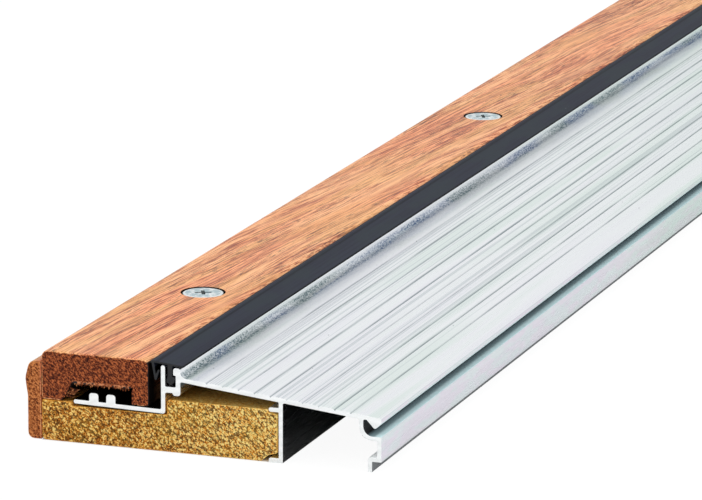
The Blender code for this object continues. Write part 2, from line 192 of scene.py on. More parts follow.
class Graph:
    """A material's node tree, written as expressions."""

    def __init__(self, name: str) -> None:
        """Start a material of that name with an empty tree."""
        self.material = bpy.data.materials.new(name)
        self.material.use_nodes = True
        self.tree = self.material.node_tree
        self.tree.nodes.clear()
        place = self.node("TexCoord").outputs["Object"]
        self.place = self.vector("SCALE", place, scale=1 / MM)
        parts = self.node("SeparateXYZ", {}, {0: self.place}).outputs
        self.x, self.y, self.z = (Value(self, part) for part in parts)

    def node(self, kind: str, settings: dict | None = None, sockets: dict | None = None) -> bpy.types.Node:
        """Add any node.

        Args:
            kind: The node's type without its "ShaderNode" prefix.
            settings: The node's own properties, set first. "stops" fills a colour ramp.
            sockets: Input name or index to a value, colour, vector or socket to link.

        Returns:
            The new node.
        """
        made = self.tree.nodes.new("ShaderNode" + kind)
        for name, setting in (settings or {}).items():
            if name == "stops":
                self._fill_ramp(made.color_ramp, setting)
            else:
                setattr(made, name, setting)
        for key, given in (sockets or {}).items():
            link = given.socket if isinstance(given, Value) else given
            if isinstance(link, bpy.types.NodeSocket):
                self.tree.links.new(link, made.inputs[key])
            elif isinstance(link, (tuple, list)) and made.inputs[key].type == "RGBA":
                made.inputs[key].default_value = (*link[:3], 1.0)
            else:
                made.inputs[key].default_value = link
        return made

    @staticmethod
    def _fill_ramp(ramp: bpy.types.ColorRamp, stops: Sequence[tuple[float, Colour]]) -> None:
        """Set a colour ramp's stops.

        Args:
            ramp: The ramp.
            stops: Positions from 0 to 1 with their colours.
        """
        while len(ramp.elements) < len(stops):
            ramp.elements.new(1.0)
        for element, (position, colour) in zip(ramp.elements, stops):
            element.position = position
            element.color = (*colour, 1.0)

    def vector(
        self, operation: str, first: object, second: object = None, scale: float | None = None
    ) -> bpy.types.NodeSocket:
        """Add a Vector Math node.

        Args:
            operation: The node's operation.
            first: Its first vector.
            second: Its second vector, where the operation has one.
            scale: Its scale, where the operation has one.

        Returns:
            The resulting vector.
        """
        sockets: dict = {0: first}
        if second is not None:
            sockets[1] = second
        if scale is not None:
            sockets["Scale"] = scale
        return self.node("VectorMath", {"operation": operation}, sockets).outputs[0]

    def stretched(self, x: float, y: float, z: float, offset: Number = 0.0) -> bpy.types.NodeSocket:
        """Give the place scaled along each axis, for grain that runs one way.

        Args:
            x: Repeats per millimetre along the sill.
            y: Repeats per millimetre across it.
            z: Repeats per millimetre upward.
            offset: A sideways drift, in millimetres, added before scaling across.

        Returns:
            The scaled vector.
        """
        across = self.y + offset
        parts = {0: self.x * x, 1: across * y, 2: self.z * z}
        return self.node("CombineXYZ", {}, parts).outputs[0]

    def slanting(self, x: float, down: float, across: float) -> bpy.types.NodeSocket:
        """Give the place scaled along the sill and along its section's two diagonals.

        Args:
            x: Repeats per millimetre along the sill.
            down: Repeats per millimetre along the diagonal that rises with y.
            across: Repeats per millimetre along the other one.

        Returns:
            The scaled vector.
        """
        rising, sinking = (self.y + self.z) * DIAGONAL, (self.y - self.z) * DIAGONAL
        parts = {0: self.x * x, 1: rising * down, 2: sinking * across}
        return self.node("CombineXYZ", {}, parts).outputs[0]

    def clouds(
        self, vector: bpy.types.NodeSocket, detail: float = 2.0, roughness: float = 0.5, bend: float = 0.0
    ) -> Value:
        """Add fractal noise.

        Args:
            vector: Where it is sampled, one repeat per unit.
            detail: How many finer layers it has.
            roughness: How strong the finer layers are.
            bend: How much it is distorted.

        Returns:
            The noise, about 0.2 to 0.8.
        """
        sockets = {
            "Vector": vector, "Scale": 1.0, "Detail": detail, "Roughness": roughness, "Distortion": bend}
        return Value(self, self.node("TexNoise", {}, sockets).outputs[0])

    def grain(
        self,
        along: float,
        across: float,
        detail: float = 2.0,
        roughness: float = 0.5,
        bend: float = 0.0,
        drift: Number = 0.0,
    ) -> Value:
        """Add fractal noise whose clouds are drawn out along the sill.

        Args:
            along: Repeats per millimetre along the sill.
            across: Repeats per millimetre across it and upward.
            detail: How many finer layers it has.
            roughness: How strong the finer layers are.
            bend: How much it is distorted.
            drift: How far it is moved across, in millimetres.

        Returns:
            The noise, about 0.2 to 0.8.
        """
        return self.clouds(self.stretched(along, across, across, drift), detail, roughness, bend)

    def cells(self, vector: bpy.types.NodeSocket) -> bpy.types.Node:
        """Add a Voronoi texture with one cell per unit and return its node."""
        return self.node("TexVoronoi", {}, {"Vector": vector, "Scale": 1.0})

    def spots(self, along: float, across: float, small: float, large: float) -> Value:
        """Scatter round spots.

        Args:
            along: Spots per millimetre along the sill.
            across: Spots per millimetre across it and upward.
            small: The share of a spot's spacing within which it is full.
            large: The share of the spacing at which it has faded out.

        Returns:
            1 within a spot and 0 between spots.
        """
        cells = self.cells(self.stretched(along, across, across))
        return Value(self, cells.outputs["Distance"]).falling(small, large)

    def mix(self, share: Number, first: object, second: object, mode: str = "MIX") -> bpy.types.NodeSocket:
        """Mix two colours.

        Args:
            share: How much of the second shows.
            first: The first colour.
            second: The second colour.
            mode: The blend mode.

        Returns:
            The mixed colour.
        """
        settings = {"data_type": "RGBA", "blend_type": mode}
        return self.node("Mix", settings, {0: share, 6: first, 7: second}).outputs[2]

    def ramp(self, value: Value, stops: Sequence[tuple[float, Colour]]) -> bpy.types.NodeSocket:
        """Look a value up in a colour ramp."""
        return self.node("ValToRGB", {"stops": stops}, {0: value}).outputs[0]

    def bump(self, height: Value, depth: float, strength: float = 1.0) -> bpy.types.NodeSocket:
        """Turn a height, 0 to 1, into a normal.

        Args:
            height: The height.
            depth: The real depth in millimetres that 1 stands for.
            strength: How strongly it shows.

        Returns:
            The normal.
        """
        sockets = {"Height": height, "Distance": depth * MM, "Strength": strength}
        return self.node("Bump", {}, sockets).outputs[0]

    def length(self, vector: bpy.types.NodeSocket) -> Value:
        """Measure a vector."""
        return Value(self, self.node("VectorMath", {"operation": "LENGTH"}, {0: vector}).outputs["Value"])

    def surface(self, **sockets: object) -> bpy.types.Material:
        """Close the tree with a Principled shader.

        Args:
            **sockets: Its inputs, with underscores for spaces.

        Returns:
            The finished material.
        """
        named = {name.replace("_", " "): given for name, given in sockets.items()}
        shader = self.node("BsdfPrincipled", {}, named)
        self.node("OutputMaterial", {}, {"Surface": shader.outputs[0]})
        return self.material


# ---------------------------------------------------------------- finishes


@dataclass(frozen=True)
class Oak:
    """Sealed red oak: long grain on the faces, dark rough fibres on a sawn end.

    Attributes:
        name: The finish's name.
        slant: How far the grain runs across for each millimetre along.
        shift: Where in the tree it was cut, in millimetres, so that no two pieces match.
        painted_shade_places: Where shade is painted on the wood, as (low y, high y, high z, start) of
            each place. The painted shade is full beyond that start, counted along the sill from its middle.
        grime_fade: How long the painted shade takes to grow to full.
        fringe: The span of y and the height of an edge that the saw frayed.
        unlit_span: How far from the middle the walls of holes turn into the lit sawn end.
    """

    name: str
    light: Colour = linear(253, 188, 132)
    middle: Colour = linear(216, 130, 80)
    dark: Colour = linear(146, 70, 36)
    pore: Colour = linear(90, 40, 20)
    end_light: Colour = linear(186, 100, 54)
    end_middle: Colour = linear(88, 30, 9)
    end_dark: Colour = linear(36, 7, 1)
    rose: Colour = linear(255, 216, 212)
    gold: Colour = linear(240, 184, 108)
    russet: Colour = linear(192, 112, 78)
    # Near black, for the painted shade on the channel's walls and on the flank beside the strip.
    grime: Colour = linear(20, 11, 8)
    fleck: Colour = linear(206, 132, 84)
    frayed: Colour = linear(208, 136, 92)
    unlit: Colour = linear(14, 8, 6)
    torn_dark: Colour = linear(60, 26, 12)
    torn_middle: Colour = linear(140, 72, 38)
    torn_light: Colour = linear(222, 150, 98)
    torn_shade: Colour = linear(120, 60, 34)
    slant: float = 0.085
    shift: float = 0.0
    # Painted shade: the channel's walls, and the flank beside the strip toward the sawn ends.
    painted_shade_places: tuple[tuple[float, float, float, float], ...] = (
        (26.0, 57.0, 24.0, 0.0), (20.0, 22.7, 33.9, 453.0))
    grime_fade: float = 14.0
    fringe: tuple[float, float, float] = (28.6, 52.0, 22.8)
    unlit_span: tuple[float, float] = (400.0, 440.0)

    def long_grain(self) -> bpy.types.Material:
        """Make the finish of the planed faces: streaks, pores and rosy or golden patches."""
        g = Graph(self.name)
        drift = g.x * self.slant + self.shift
        wander = (g.grain(0.008, 0.03, 1.0, drift=drift) - 0.5) * 9.0
        flow = drift + wander
        bands = g.grain(0.004, 0.16, 2.0, 0.6, 0.3, drift=flow)
        streaks = g.grain(0.02, 1.1, 2.0, 0.75, drift=flow)
        fibres = g.grain(0.06, 2.9, 2.0, 0.75, drift=flow)
        dashes = g.grain(0.11, 1.7, 1.0, 0.5, 0.3, drift=flow + 30.0)
        tone = bands * 0.12 + streaks * 0.42 + fibres * 0.46
        wood = g.ramp(tone, ((0.435, self.dark), (0.48, self.middle), (0.525, self.light)))
        rosy = g.grain(0.009, 0.09, 1.0, drift=drift).rising(0.42, 0.60)
        wood = g.mix(rosy * 0.5, wood, self.rose, "MULTIPLY")
        golden = g.grain(0.012, 0.12, 1.0, drift=drift + 40.0).rising(0.50, 0.64)
        wood = g.mix(golden * 0.3, wood, self.gold)
        ruddy = g.grain(0.014, 0.22, 1.0, drift=flow + 77.0).rising(0.56, 0.68)
        wood = g.mix(ruddy * 0.35, wood, self.russet)
        pores = dashes.rising(0.585, 0.64) * bands.falling(0.40, 0.60)
        wood = g.mix(pores * 0.75, wood, self.pore)
        # Paint shade on the channel's walls and on the flank beside the strip.
        for low, high, top, start in self.painted_shade_places:
            painted_shade_mask = g.y.band(low, high, 0.3) * g.z.falling(top - 0.2, top + 0.1)
            painted_shade_mask = painted_shade_mask * g.x.size().rising(start - self.grime_fade, start)
            wood = g.mix(painted_shade_mask, wood, self.grime)
        height = fibres * 0.5 + streaks * 0.5 - pores * 1.1
        return g.surface(
            Base_Color=wood,
            Roughness=0.42 + fibres * 0.2,
            Normal=g.bump(height, 0.10, 0.6),
            Specular_IOR_Level=0.3,
            Coat_Weight=0.08,
            Coat_Roughness=0.3,
        )

    def end_grain(self) -> bpy.types.Material:
        """Make the finish of a sawn end, and of the dark walls of what is bored in the wood."""
        g = Graph(self.name + "_end")
        strokes = g.clouds(g.slanting(0.3, 0.7, 2.1), 2.0, 0.65, 0.6)
        coarse = g.grain(0.3, 0.95, 3.0, 0.75, 0.3)
        fine = g.grain(0.5, 2.6, 2.0, 0.6)
        tone = strokes * 0.45 + coarse * 0.25 + fine * 0.3
        wood = g.ramp(tone, ((0.43, self.end_dark), (0.49, self.end_middle), (0.56, self.end_light)))
        flecks = g.spots(0.2, 1.0, 0.05, 0.2)
        chosen = g.grain(0.2, 0.45, 1.0).rising(0.52, 0.6)
        wood = g.mix(flecks * chosen * 0.8, wood, self.fleck)
        low, high, ceiling = self.fringe
        ragged = g.clouds(g.stretched(0.2, 1.3, 0.8), 2.0).rising(0.46, 0.54)
        ragged = ragged * g.y.band(low, high, 0.6) * g.z.band(ceiling - 0.6, ceiling + 0.9, 0.6)
        wood = g.mix(ragged * 0.85, wood, self.frayed)
        wood = g.mix(g.x.size().falling(*self.unlit_span), wood, self.unlit)
        return g.surface(
            Base_Color=wood,
            Roughness=0.72 + fine * 0.2,
            Normal=g.bump(strokes * 0.6 + fine * 0.4, 0.5, 0.8),
            Specular_IOR_Level=0.2,
        )

    def torn(self) -> bpy.types.Material:
        """Make the finish of torn fibres, paler than the sawn end around them."""
        g = Graph(self.name + "_torn")
        length = g.grain(0.9, 3.0, 2.0, 0.6)
        lot = g.grain(0.4, 0.9, 1.0)
        wood = g.ramp(lot, ((0.40, self.torn_dark), (0.52, self.torn_middle), (0.66, self.torn_light)))
        wood = g.mix((length - 0.5).size() * 1.2, wood, self.torn_shade, "MULTIPLY")
        return g.surface(
            Base_Color=wood,
            Roughness=0.75 + length * 0.15,
            Normal=g.bump(length, 0.2, 0.6),
            Specular_IOR_Level=0.2,
        )


@dataclass(frozen=True)
class Board:
    """Composite board of pressed wood chips, golden brown with dark voids.

    Attributes:
        name: The finish's name.
        pit: The colour of voids.
        moss: A faint greenish tinge in patches.
        umber: The colour of the unlit top below the metal's deck.
        top: The height above which the board is that unlit top.
        top_edge: The y below which it is.
        fresh: The span of y over which the sawn face gets paler toward the nose.
    """

    name: str
    pale: Colour = linear(255, 226, 140)
    light: Colour = linear(253, 196, 98)
    middle: Colour = linear(218, 140, 46)
    dark: Colour = linear(140, 74, 10)
    pit: Colour = linear(76, 38, 2)
    moss: Colour = linear(206, 186, 70)
    umber: Colour = linear(92, 66, 14)
    top: float = 20.0
    top_edge: float = 13.0
    fresh: tuple[float, float] = (-25.0, 40.0)

    def pressed(self) -> bpy.types.Material:
        """Make the smoother pressed faces."""
        return self._chips("", 0.4, 0.12)

    def sawn(self) -> bpy.types.Material:
        """Make the open, crumbly sawn faces."""
        return self._chips("_end", 1.0, 0.7)

    def _chips(self, suffix: str, contrast: float, depth: float) -> bpy.types.Material:
        """Make one face of the board.

        Args:
            suffix: What the material's name adds to the finish's.
            contrast: How strongly chips differ from each other.
            depth: How deep the texture is, in millimetres.

        Returns:
            The material.
        """
        g = Graph(self.name + suffix)
        spread = g.slanting(0.8, 0.85, 1.35)
        sway = g.node("TexNoise", {}, {"Vector": spread, "Scale": 1.3, "Detail": 2.0}).outputs["Color"]
        bent = g.vector("ADD", spread, g.vector("SCALE", sway, scale=1.1))
        chips = g.cells(bent)
        lot = Value(g, g.node("SeparateXYZ", {}, {0: chips.outputs["Color"]}).outputs[0])
        reach = Value(g, chips.outputs["Distance"])
        grit = g.grain(1.3, 1.7, 3.0, 0.75, 0.5)
        fresh = g.y.falling(*self.fresh) * 0.24 + 0.05
        tone = (lot - 0.5) * (0.6 * contrast) + (grit - 0.5) * (3.1 * contrast) + fresh + 0.5
        stops = ((0.22, self.dark), (0.50, self.middle), (0.74, self.light), (0.95, self.pale))
        colour = g.ramp(tone, stops)
        gaps = reach.rising(0.50, 0.78)
        colour = g.mix(gaps * (0.8 * contrast), colour, self.pit)
        pits = g.grain(0.9, 1.15, 1.0, 0.5, 0.4).rising(0.60, 0.68)
        colour = g.mix(pits * (0.8 * contrast), colour, self.pit)
        greenish = g.clouds(g.stretched(0.1, 0.09, 0.12), 1.0).rising(0.48, 0.62)
        colour = g.mix(greenish * 0.08, colour, self.moss)
        shaded = g.z.rising(self.top, self.top + 0.3) * g.y.falling(self.top_edge, self.top_edge + 0.5)
        colour = g.mix(shaded * 0.6, colour, self.umber)
        height = grit * 0.6 - gaps * 0.4 + lot * 0.3 - pits * 0.5
        return g.surface(
            Base_Color=colour,
            Roughness=0.85,
            Normal=g.bump(height, depth, 0.9),
            Specular_IOR_Level=0.15,
        )


@dataclass(frozen=True)
class MillAluminium:
    """Mill-finish extrusion: bright, with die lines, soil and painted shade in its grooves, and a few
    nicks.

    Attributes:
        name: The finish's name.
        groove_first: The y of the first tread groove.
        groove_pitch: The pitch of the grooves.
        groove_half: Half the width that soil and painted shade fill.
        tread: The span of y that has grooves.
        cove: The span of y over which the strip's painted reflection and shadow grow, and where they are
            full.
        slot: The (y, z) spans of the nose's slot.
        leg: The y of the leg's face in the closed space below the deck, painted dark as shade.
        fascia: The y beyond which the metal is the weathered fascia.
        race: The (y, z) spans of the channel that the cap covers, painted dark as shade.
        shelf: The (y, z) spans of the dusty ledge behind the fascia.
        foot: The (y, z) spans of the foot's face, drawn in below the fascia and painted dark as shade.
        weather_span: The span of x over which the metal gets duller.
        slot_depth: The span of y over which the slot is painted from light reflection at its mouth to dark
            shade at its bottom.
        blade: Shifts the middle of the saw's arcs away from the section.
    """

    name: str
    bright: Colour = linear(253, 254, 254)
    cool: Colour = linear(240, 248, 243)
    warm: Colour = linear(251, 250, 253)
    soil_and_shade: Colour = linear(128, 140, 144)
    die_line: Colour = linear(204, 212, 216)
    score: Colour = linear(188, 198, 200)
    weather: Colour = linear(228, 240, 231)
    fascia_green: Colour = linear(224, 230, 229)
    fascia_rose: Colour = linear(230, 224, 230)
    reflection_grey: Colour = linear(66, 100, 108)
    reflection_blue: Colour = linear(60, 94, 138)
    nick: Colour = linear(120, 124, 126)
    leg_and_race_shade: Colour = linear(28, 28, 27)
    foot_shade: Colour = linear(70, 76, 78)
    slot_light: Colour = linear(204, 226, 228)
    slot_upper: Colour = linear(144, 166, 170)
    slot_lower: Colour = linear(112, 132, 138)
    slot_dark: Colour = linear(18, 22, 24)
    cut_light: Colour = linear(250, 251, 250)
    cut_dark: Colour = linear(214, 218, 216)
    groove_first: float = -2.2
    groove_pitch: float = 6.35
    groove_half: float = 0.62
    tread: tuple[float, float] = (-60.2, -1.0)
    cove: tuple[float, float, float] = (-3.5, 4.2, 5.8)
    slot: tuple[float, float, float, float] = (-71.1, -64.0, 13.0, 20.3)
    leg: float = -32.6
    fascia: float = -71.2
    race: tuple[float, float, float, float] = (15.8, 52.5, 14.0, 33.0)
    shelf: tuple[float, float, float, float] = (-69.9, -65.8, 5.3, 6.3)
    foot: tuple[float, float, float, float] = (-71.3, -67.5, -1.0, 4.1)
    weather_span: tuple[float, float] = (-300.0, 420.0)
    slot_depth: tuple[float, float] = (-71.2, -64.4)
    blade: tuple[float, float, float] = (0.0, 40.0, 160.0)

    def extruded(self) -> bpy.types.Material:
        """Make the faces that came out of the die."""
        g = Graph(self.name)
        lines = g.grain(0.0025, 2.1, 3.0, 0.7)
        scores = g.clouds(g.stretched(0.0012, 1.0, 0.3), 1.0, 0.5).rising(0.56, 0.64)
        broad = g.grain(0.004, 0.12, 2.0, 0.6)
        specks = g.spots(0.05, 0.11, 0.016, 0.04)
        wander = (g.grain(0.02, 0.05, 1.0) - 0.5) * 0.25
        from_groove = (g.y + wander - self.groove_first).wrapped(self.groove_pitch).size()
        on_tread = g.y.band(*self.tread, 0.4) * g.z.rising(20.0, 21.5)
        grooves = from_groove.falling(0.1, self.groove_half) * on_tread
        patchy = g.grain(0.015, 0.15, 2.0).rising(0.35, 0.6) * 0.5 + 0.5
        metal = g.ramp(broad, ((0.35, self.cool), (0.5, self.bright), (0.65, self.warm)))
        metal = g.mix((lines - 0.5).size() * 0.8, metal, self.die_line, "MULTIPLY")
        metal = g.mix(scores * on_tread * 0.5, metal, self.score)
        # Darken the grooves with soil and painted shade.
        metal = g.mix(grooves * patchy * 0.8, metal, self.soil_and_shade)
        metal = g.mix(g.x.rising(*self.weather_span) * 0.6, metal, self.weather, "MULTIPLY")
        rosy = g.grain(0.06, 0.3, 1.0).rising(0.4, 0.6)
        outer = g.y.falling(self.fascia - 0.1, self.fascia + 0.1)
        metal = g.mix(outer, metal, g.mix(rosy, self.fascia_green, self.fascia_rose), "MULTIPLY")
        # Painted reflection and shadow of the dark strip, mottled, in the hollow beside it.
        strip_reflection = self._strip_reflection(g)
        blue = g.grain(0.02, 0.1, 1.0).rising(0.42, 0.58)
        metal = g.mix(strip_reflection, metal, g.mix(blue, self.reflection_grey, self.reflection_blue))
        # Paint the slot light at its mouth and dark toward its bottom, as reflection and shade.
        nose = self._box(g, *self.slot, 0.3)
        slot_shading = (
            (0.16, self.slot_light),
            (0.38, self.slot_upper),
            (0.72, self.slot_lower),
            (0.90, self.slot_dark),
        )
        metal = g.mix(nose, metal, g.ramp(g.y.rising(*self.slot_depth), slot_shading))
        metal = g.mix(specks * 0.7, metal, self.nick)
        # Painted shade, near black: the leg's face below the deck and the channel under the cap.
        dark = (g.y - self.leg).size().falling(0.1, 0.3) * g.z.falling(24.0, 24.8)
        dark = dark + self._box(g, *self.race, 0.3)
        metal = g.mix(dark * 0.97, metal, self.leg_and_race_shade)
        # Paint shade on the foot's face below the fascia.
        foot = self._box(g, *self.foot, 0.2)
        metal = g.mix(foot * 0.85, metal, self.foot_shade)
        # Dust on the shelf, and the painted slot and foot, are rough and hardly metallic.
        dust_and_shade = self._box(g, *self.shelf, 0.2) + nose + foot
        rough = 0.30 + (lines - 0.5) * 0.30 + grooves * 0.25 + specks * 0.2 + strip_reflection * 0.5 + dust_and_shade * 0.3
        height = lines * 0.7 + broad * 0.3 - specks * 0.6
        return g.surface(
            Base_Color=metal,
            Metallic=1.0 - dust_and_shade * 0.9,
            Roughness=rough,
            Normal=g.bump(height, 0.05, 0.55),
        )

    def _strip_reflection(self, g: Graph) -> Value:
        """Paint the strip's mottled reflection and shadow into the hollow beside it.

        Args:
            g: The tree that it belongs to.

        Returns:
            How strongly the painted reflection and shadow show at each place.
        """
        fine = g.grain(0.7, 1.6, 3.0, 0.75, 0.6).rising(0.38, 0.62)
        slow = g.grain(0.02, 0.3, 1.0).rising(0.3, 0.6) * 0.4 + 0.6
        start, near, full = self.cove
        spread = g.y.rising(start, near).power(1.5) * (fine * 0.4 + 0.6) * 0.45
        hollow = g.y.rising(near, full) * (fine * 0.85 + 0.15) * 0.5
        below_bead = g.z.falling(30.2, 31.6) * g.z.rising(25.0, 26.0) * g.y.falling(8.5, 8.9)
        return (spread + hollow) * slow * below_bead

    @staticmethod
    def _box(g: Graph, low_y: float, high_y: float, low_z: float, high_z: float, soft: float) -> Value:
        """Be 1 within spans of y and z, with soft edges outside them."""
        return g.y.band(low_y, high_y, soft) * g.z.band(low_z, high_z, soft)

    def sawn(self) -> bpy.types.Material:
        """Make a saw-cut end: fine arcs of the blade, bright and soft."""
        g = Graph(self.name + "_end")
        arcs = (g.length(g.vector("ADD", g.place, self.blade)) * 5.5).sine() * 0.5 + 0.5
        grain = g.grain(1.0, 1.6, 2.0, 0.6)
        metal = g.mix(arcs * 0.25 + grain * 0.2, self.cut_light, self.cut_dark)
        return g.surface(
            Base_Color=metal,
            Metallic=0.35,
            Roughness=0.5 + grain * 0.15,
            Normal=g.bump(arcs * 0.6 + grain * 0.4, 0.04, 0.5),
        )


@dataclass(frozen=True)
class Vinyl:
    """Charcoal flexible vinyl with a satin skin, faint streaks and settled dust.

    Attributes:
        name: The finish's name.
        body: Its colour.
        worn: Its colour where it is rubbed.
        valley: The span of y of the shadowed valley beside the ridge.
        edge: The y of the strip's weather edge.
        lip: The y beyond which its lip is in the shadow of the cap.
        under: The height below which only the unlit fin and barb lie.
    """

    name: str
    body: Colour = linear(36, 38, 50)
    worn: Colour = linear(50, 54, 66)
    bloom: Colour = linear(44, 53, 57)
    dust: Colour = linear(140, 140, 144)
    unlit: Colour = linear(10, 10, 14)
    cut_dark: Colour = linear(8, 8, 10)
    cut_light: Colour = linear(26, 28, 32)
    valley: tuple[float, float] = (17.1, 17.9)
    edge: float = 7.2
    lip: float = 20.1
    under: float = 32.6

    def skin(self) -> bpy.types.Material:
        """Make the extruded faces."""
        g = Graph(self.name)
        streaks = g.grain(0.006, 0.9, 3.0, 0.6)
        patches = g.grain(0.03, 0.12, 2.0, 0.6)
        pebble = g.grain(2.2, 2.6, 2.0, 0.6)
        dust = g.spots(0.035, 0.14, 0.02, 0.05)
        colour = g.mix(streaks.rising(0.35, 0.65) * 0.7, self.body, self.worn)
        colour = g.mix(patches.rising(0.42, 0.62) * 0.5, colour, self.bloom)
        colour = g.mix(dust * 0.5, colour, self.dust)
        shade = g.y.band(*self.valley, 0.25) * 0.55 + g.y.falling(self.edge, self.edge + 0.3)
        shade = shade + g.y.rising(self.lip - 0.15, self.lip)
        shade = shade + g.z.falling(self.under - 0.3, self.under)
        colour = g.mix(shade, colour, self.unlit)
        return g.surface(
            Base_Color=colour,
            Roughness=0.46 + streaks * 0.15 + dust * 0.2,
            Normal=g.bump(pebble * 0.4 + streaks * 0.6, 0.05, 0.5),
            Specular_IOR_Level=0.05,
        )

    def cut(self) -> bpy.types.Material:
        """Make the cut end, duller than the skin."""
        g = Graph(self.name + "_end")
        drag = g.clouds(g.stretched(1.0, 1.2, 4.0), 2.0, 0.6)
        colour = g.mix(drag, self.cut_dark, self.cut_light)
        return g.surface(Base_Color=colour, Roughness=0.6 + drag * 0.2, Normal=g.bump(drag, 0.08, 0.6))


@dataclass(frozen=True)
class Plated:
    """A turned and plated steel part, with tool rings on its faces and a painted highlight on its rim.

    Attributes:
        name: The finish's name.
        bright: Its colour where it is rubbed.
        dull: Its colour elsewhere.
        ring_pitch: The pitch of the tool rings.
        recess_radius: How far from the axis the driving recess reaches.
        recess_top: The height of the recess's mouth.
        rim: The span of radius of the rim that takes the painted highlight.
    """

    name: str
    bright: Colour = linear(252, 254, 252)
    dull: Colour = linear(184, 204, 208)
    rim_highlight: Colour = linear(252, 253, 250)
    grime: Colour = linear(130, 140, 142)
    # Dark colour of the painted shade inside the driving recess.
    recess: Colour = linear(34, 42, 44)
    ring_pitch: float = 0.28
    recess_radius: float = 3.9
    recess_top: float = 34.81
    rim: tuple[float, float] = (7.2, 8.0)

    def turned(self) -> bpy.types.Material:
        """Make the finish of a part turned about its own upright axis."""
        g = Graph(self.name)
        flat = g.node("CombineXYZ", {}, {0: g.x, 1: g.y}).outputs[0]
        radius = g.length(flat)
        rings = (radius * (2 * math.pi / self.ring_pitch)).sine() * 0.5 + 0.5
        cloud = g.grain(0.35, 0.35, 3.0, 0.65)
        grime = g.grain(0.9, 0.9, 2.0, 0.7).rising(0.62, 0.74)
        metal = g.mix(cloud.rising(0.34, 0.56), self.bright, self.dull)
        # Paint a highlight on the head's rim.
        metal = g.mix(radius.band(*self.rim, 0.2) * 0.8, metal, self.rim_highlight)
        metal = g.mix(grime * 0.4, metal, self.grime)
        # Paint shade inside the driving recess.
        deep = radius.falling(self.recess_radius - 0.2, self.recess_radius)
        deep = deep * g.z.falling(self.recess_top - 0.08, self.recess_top)
        metal = g.mix(deep * 0.9, metal, self.recess)
        return g.surface(
            Base_Color=metal,
            Metallic=1.0,
            Roughness=0.3 + cloud * 0.15 + grime * 0.2,
            Normal=g.bump(rings * 0.5 + cloud * 0.5, 0.04, 0.3),
        )


# ---------------------------------------------------------------- meshes


@dataclass
class Shell:
    """A mesh in the making: corners in millimetres and faces, each with its finish."""

    corners: list[Vector] = field(default_factory=list)
    faces: list[tuple[int, ...]] = field(default_factory=list)
    kinds: list[Face] = field(default_factory=list)

    def add(self, corners: Sequence[Vector], faces: Sequence[Sequence[int]], kind: Face) -> None:
        """Add a closed body.

        Args:
            corners: Its corners.
            faces: Its faces, as indices into those corners.
            kind: The finish that they take.
        """
        first = len(self.corners)
        self.corners += corners
        self.faces += [tuple(first + i for i in face) for face in faces]
        self.kinds += [kind] * len(faces)

    def placed(self, name: str, materials: Sequence[bpy.types.Material]) -> bpy.types.Object:
        """Make the object.

        Args:
            name: Its name.
            materials: One material for each kind of face.

        Returns:
            The object, in the scene.
        """
        mesh = bpy.data.meshes.new(name)
        mesh.from_pydata([corner * MM for corner in self.corners], [], self.faces)
        for material in materials:
            mesh.materials.append(material)
        mesh.polygons.foreach_set("material_index", [int(kind) for kind in self.kinds])
        mesh.update()
        made = bpy.data.objects.new(name, mesh)
        bpy.context.scene.collection.objects.link(made)
        return made


@cache
def extent(node: str) -> tuple[Vector, Vector]:
    """Give a node's lowest and highest corners in millimetres."""
    low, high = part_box(node)
    return Vector(low) / MM, Vector(high) / MM


def smooth(made: bpy.types.Object, crease: float = 30.0) -> None:
    """Shade an object smooth up to a crease angle in degrees."""
    made.data.shade_smooth()
    made.data.set_sharp_from_angle(angle=math.radians(crease))


def carve(made: bpy.types.Object, cutter: bpy.types.Object) -> None:
    """Cut one object out of another for good.

    Args:
        made: The object that is cut, which keeps its materials.
        cutter: What is cut away. It is removed afterwards.
    """
    boolean = made.modifiers.new("carve", "BOOLEAN")
    boolean.operation = "DIFFERENCE"
    boolean.solver = "EXACT"
    boolean.object = cutter
    evaluated = made.evaluated_get(bpy.context.evaluated_depsgraph_get())
    carved = bpy.data.meshes.new_from_object(evaluated)
    made.modifiers.clear()
    old = made.data
    made.data = carved
    bpy.data.meshes.remove(old)
    carved.name = made.name
    bpy.data.objects.remove(cutter, do_unlink=True)


def turned(
    shell: Shell,
    profile: Sequence[tuple[float, float]],
    segments: int,
    place: Matrix,
    kind: Face = Face.SIDE,
    relief: Callable[[float, float, float], float] | None = None,
) -> None:
    """Add a turned body, whose profile runs from a point on the axis up to another.

    Args:
        shell: Where it is added.
        profile: Its (radius, height) points, from the bottom of the axis to the top.
        segments: How many facets it has round the axis.
        place: Moves the upright axis to where it belongs, in millimetres.
        kind: The finish of its faces.
        relief: Gives the radius from a profile radius, a height and an angle.
    """
    corners = [place @ Vector((0, 0, profile[0][1]))]
    for radius, height in profile[1:-1]:
        for i in range(segments):
            angle = 2 * math.pi * i / segments
            reach = relief(radius, height, angle) if relief else radius
            corners.append(place @ Vector((reach * math.cos(angle), reach * math.sin(angle), height)))
    corners.append(place @ Vector((0, 0, profile[-1][1])))
    top, last_ring = len(corners) - 1, len(corners) - 1 - segments
    faces: list[tuple[int, ...]] = []
    for i in range(segments):
        j = (i + 1) % segments
        faces.append((0, 1 + j, 1 + i))
        for ring in range(1, last_ring, segments):
            faces.append((ring + i, ring + j, ring + segments + j, ring + segments + i))
        faces.append((last_ring + i, last_ring + j, top))
    shell.add(corners, faces, kind)


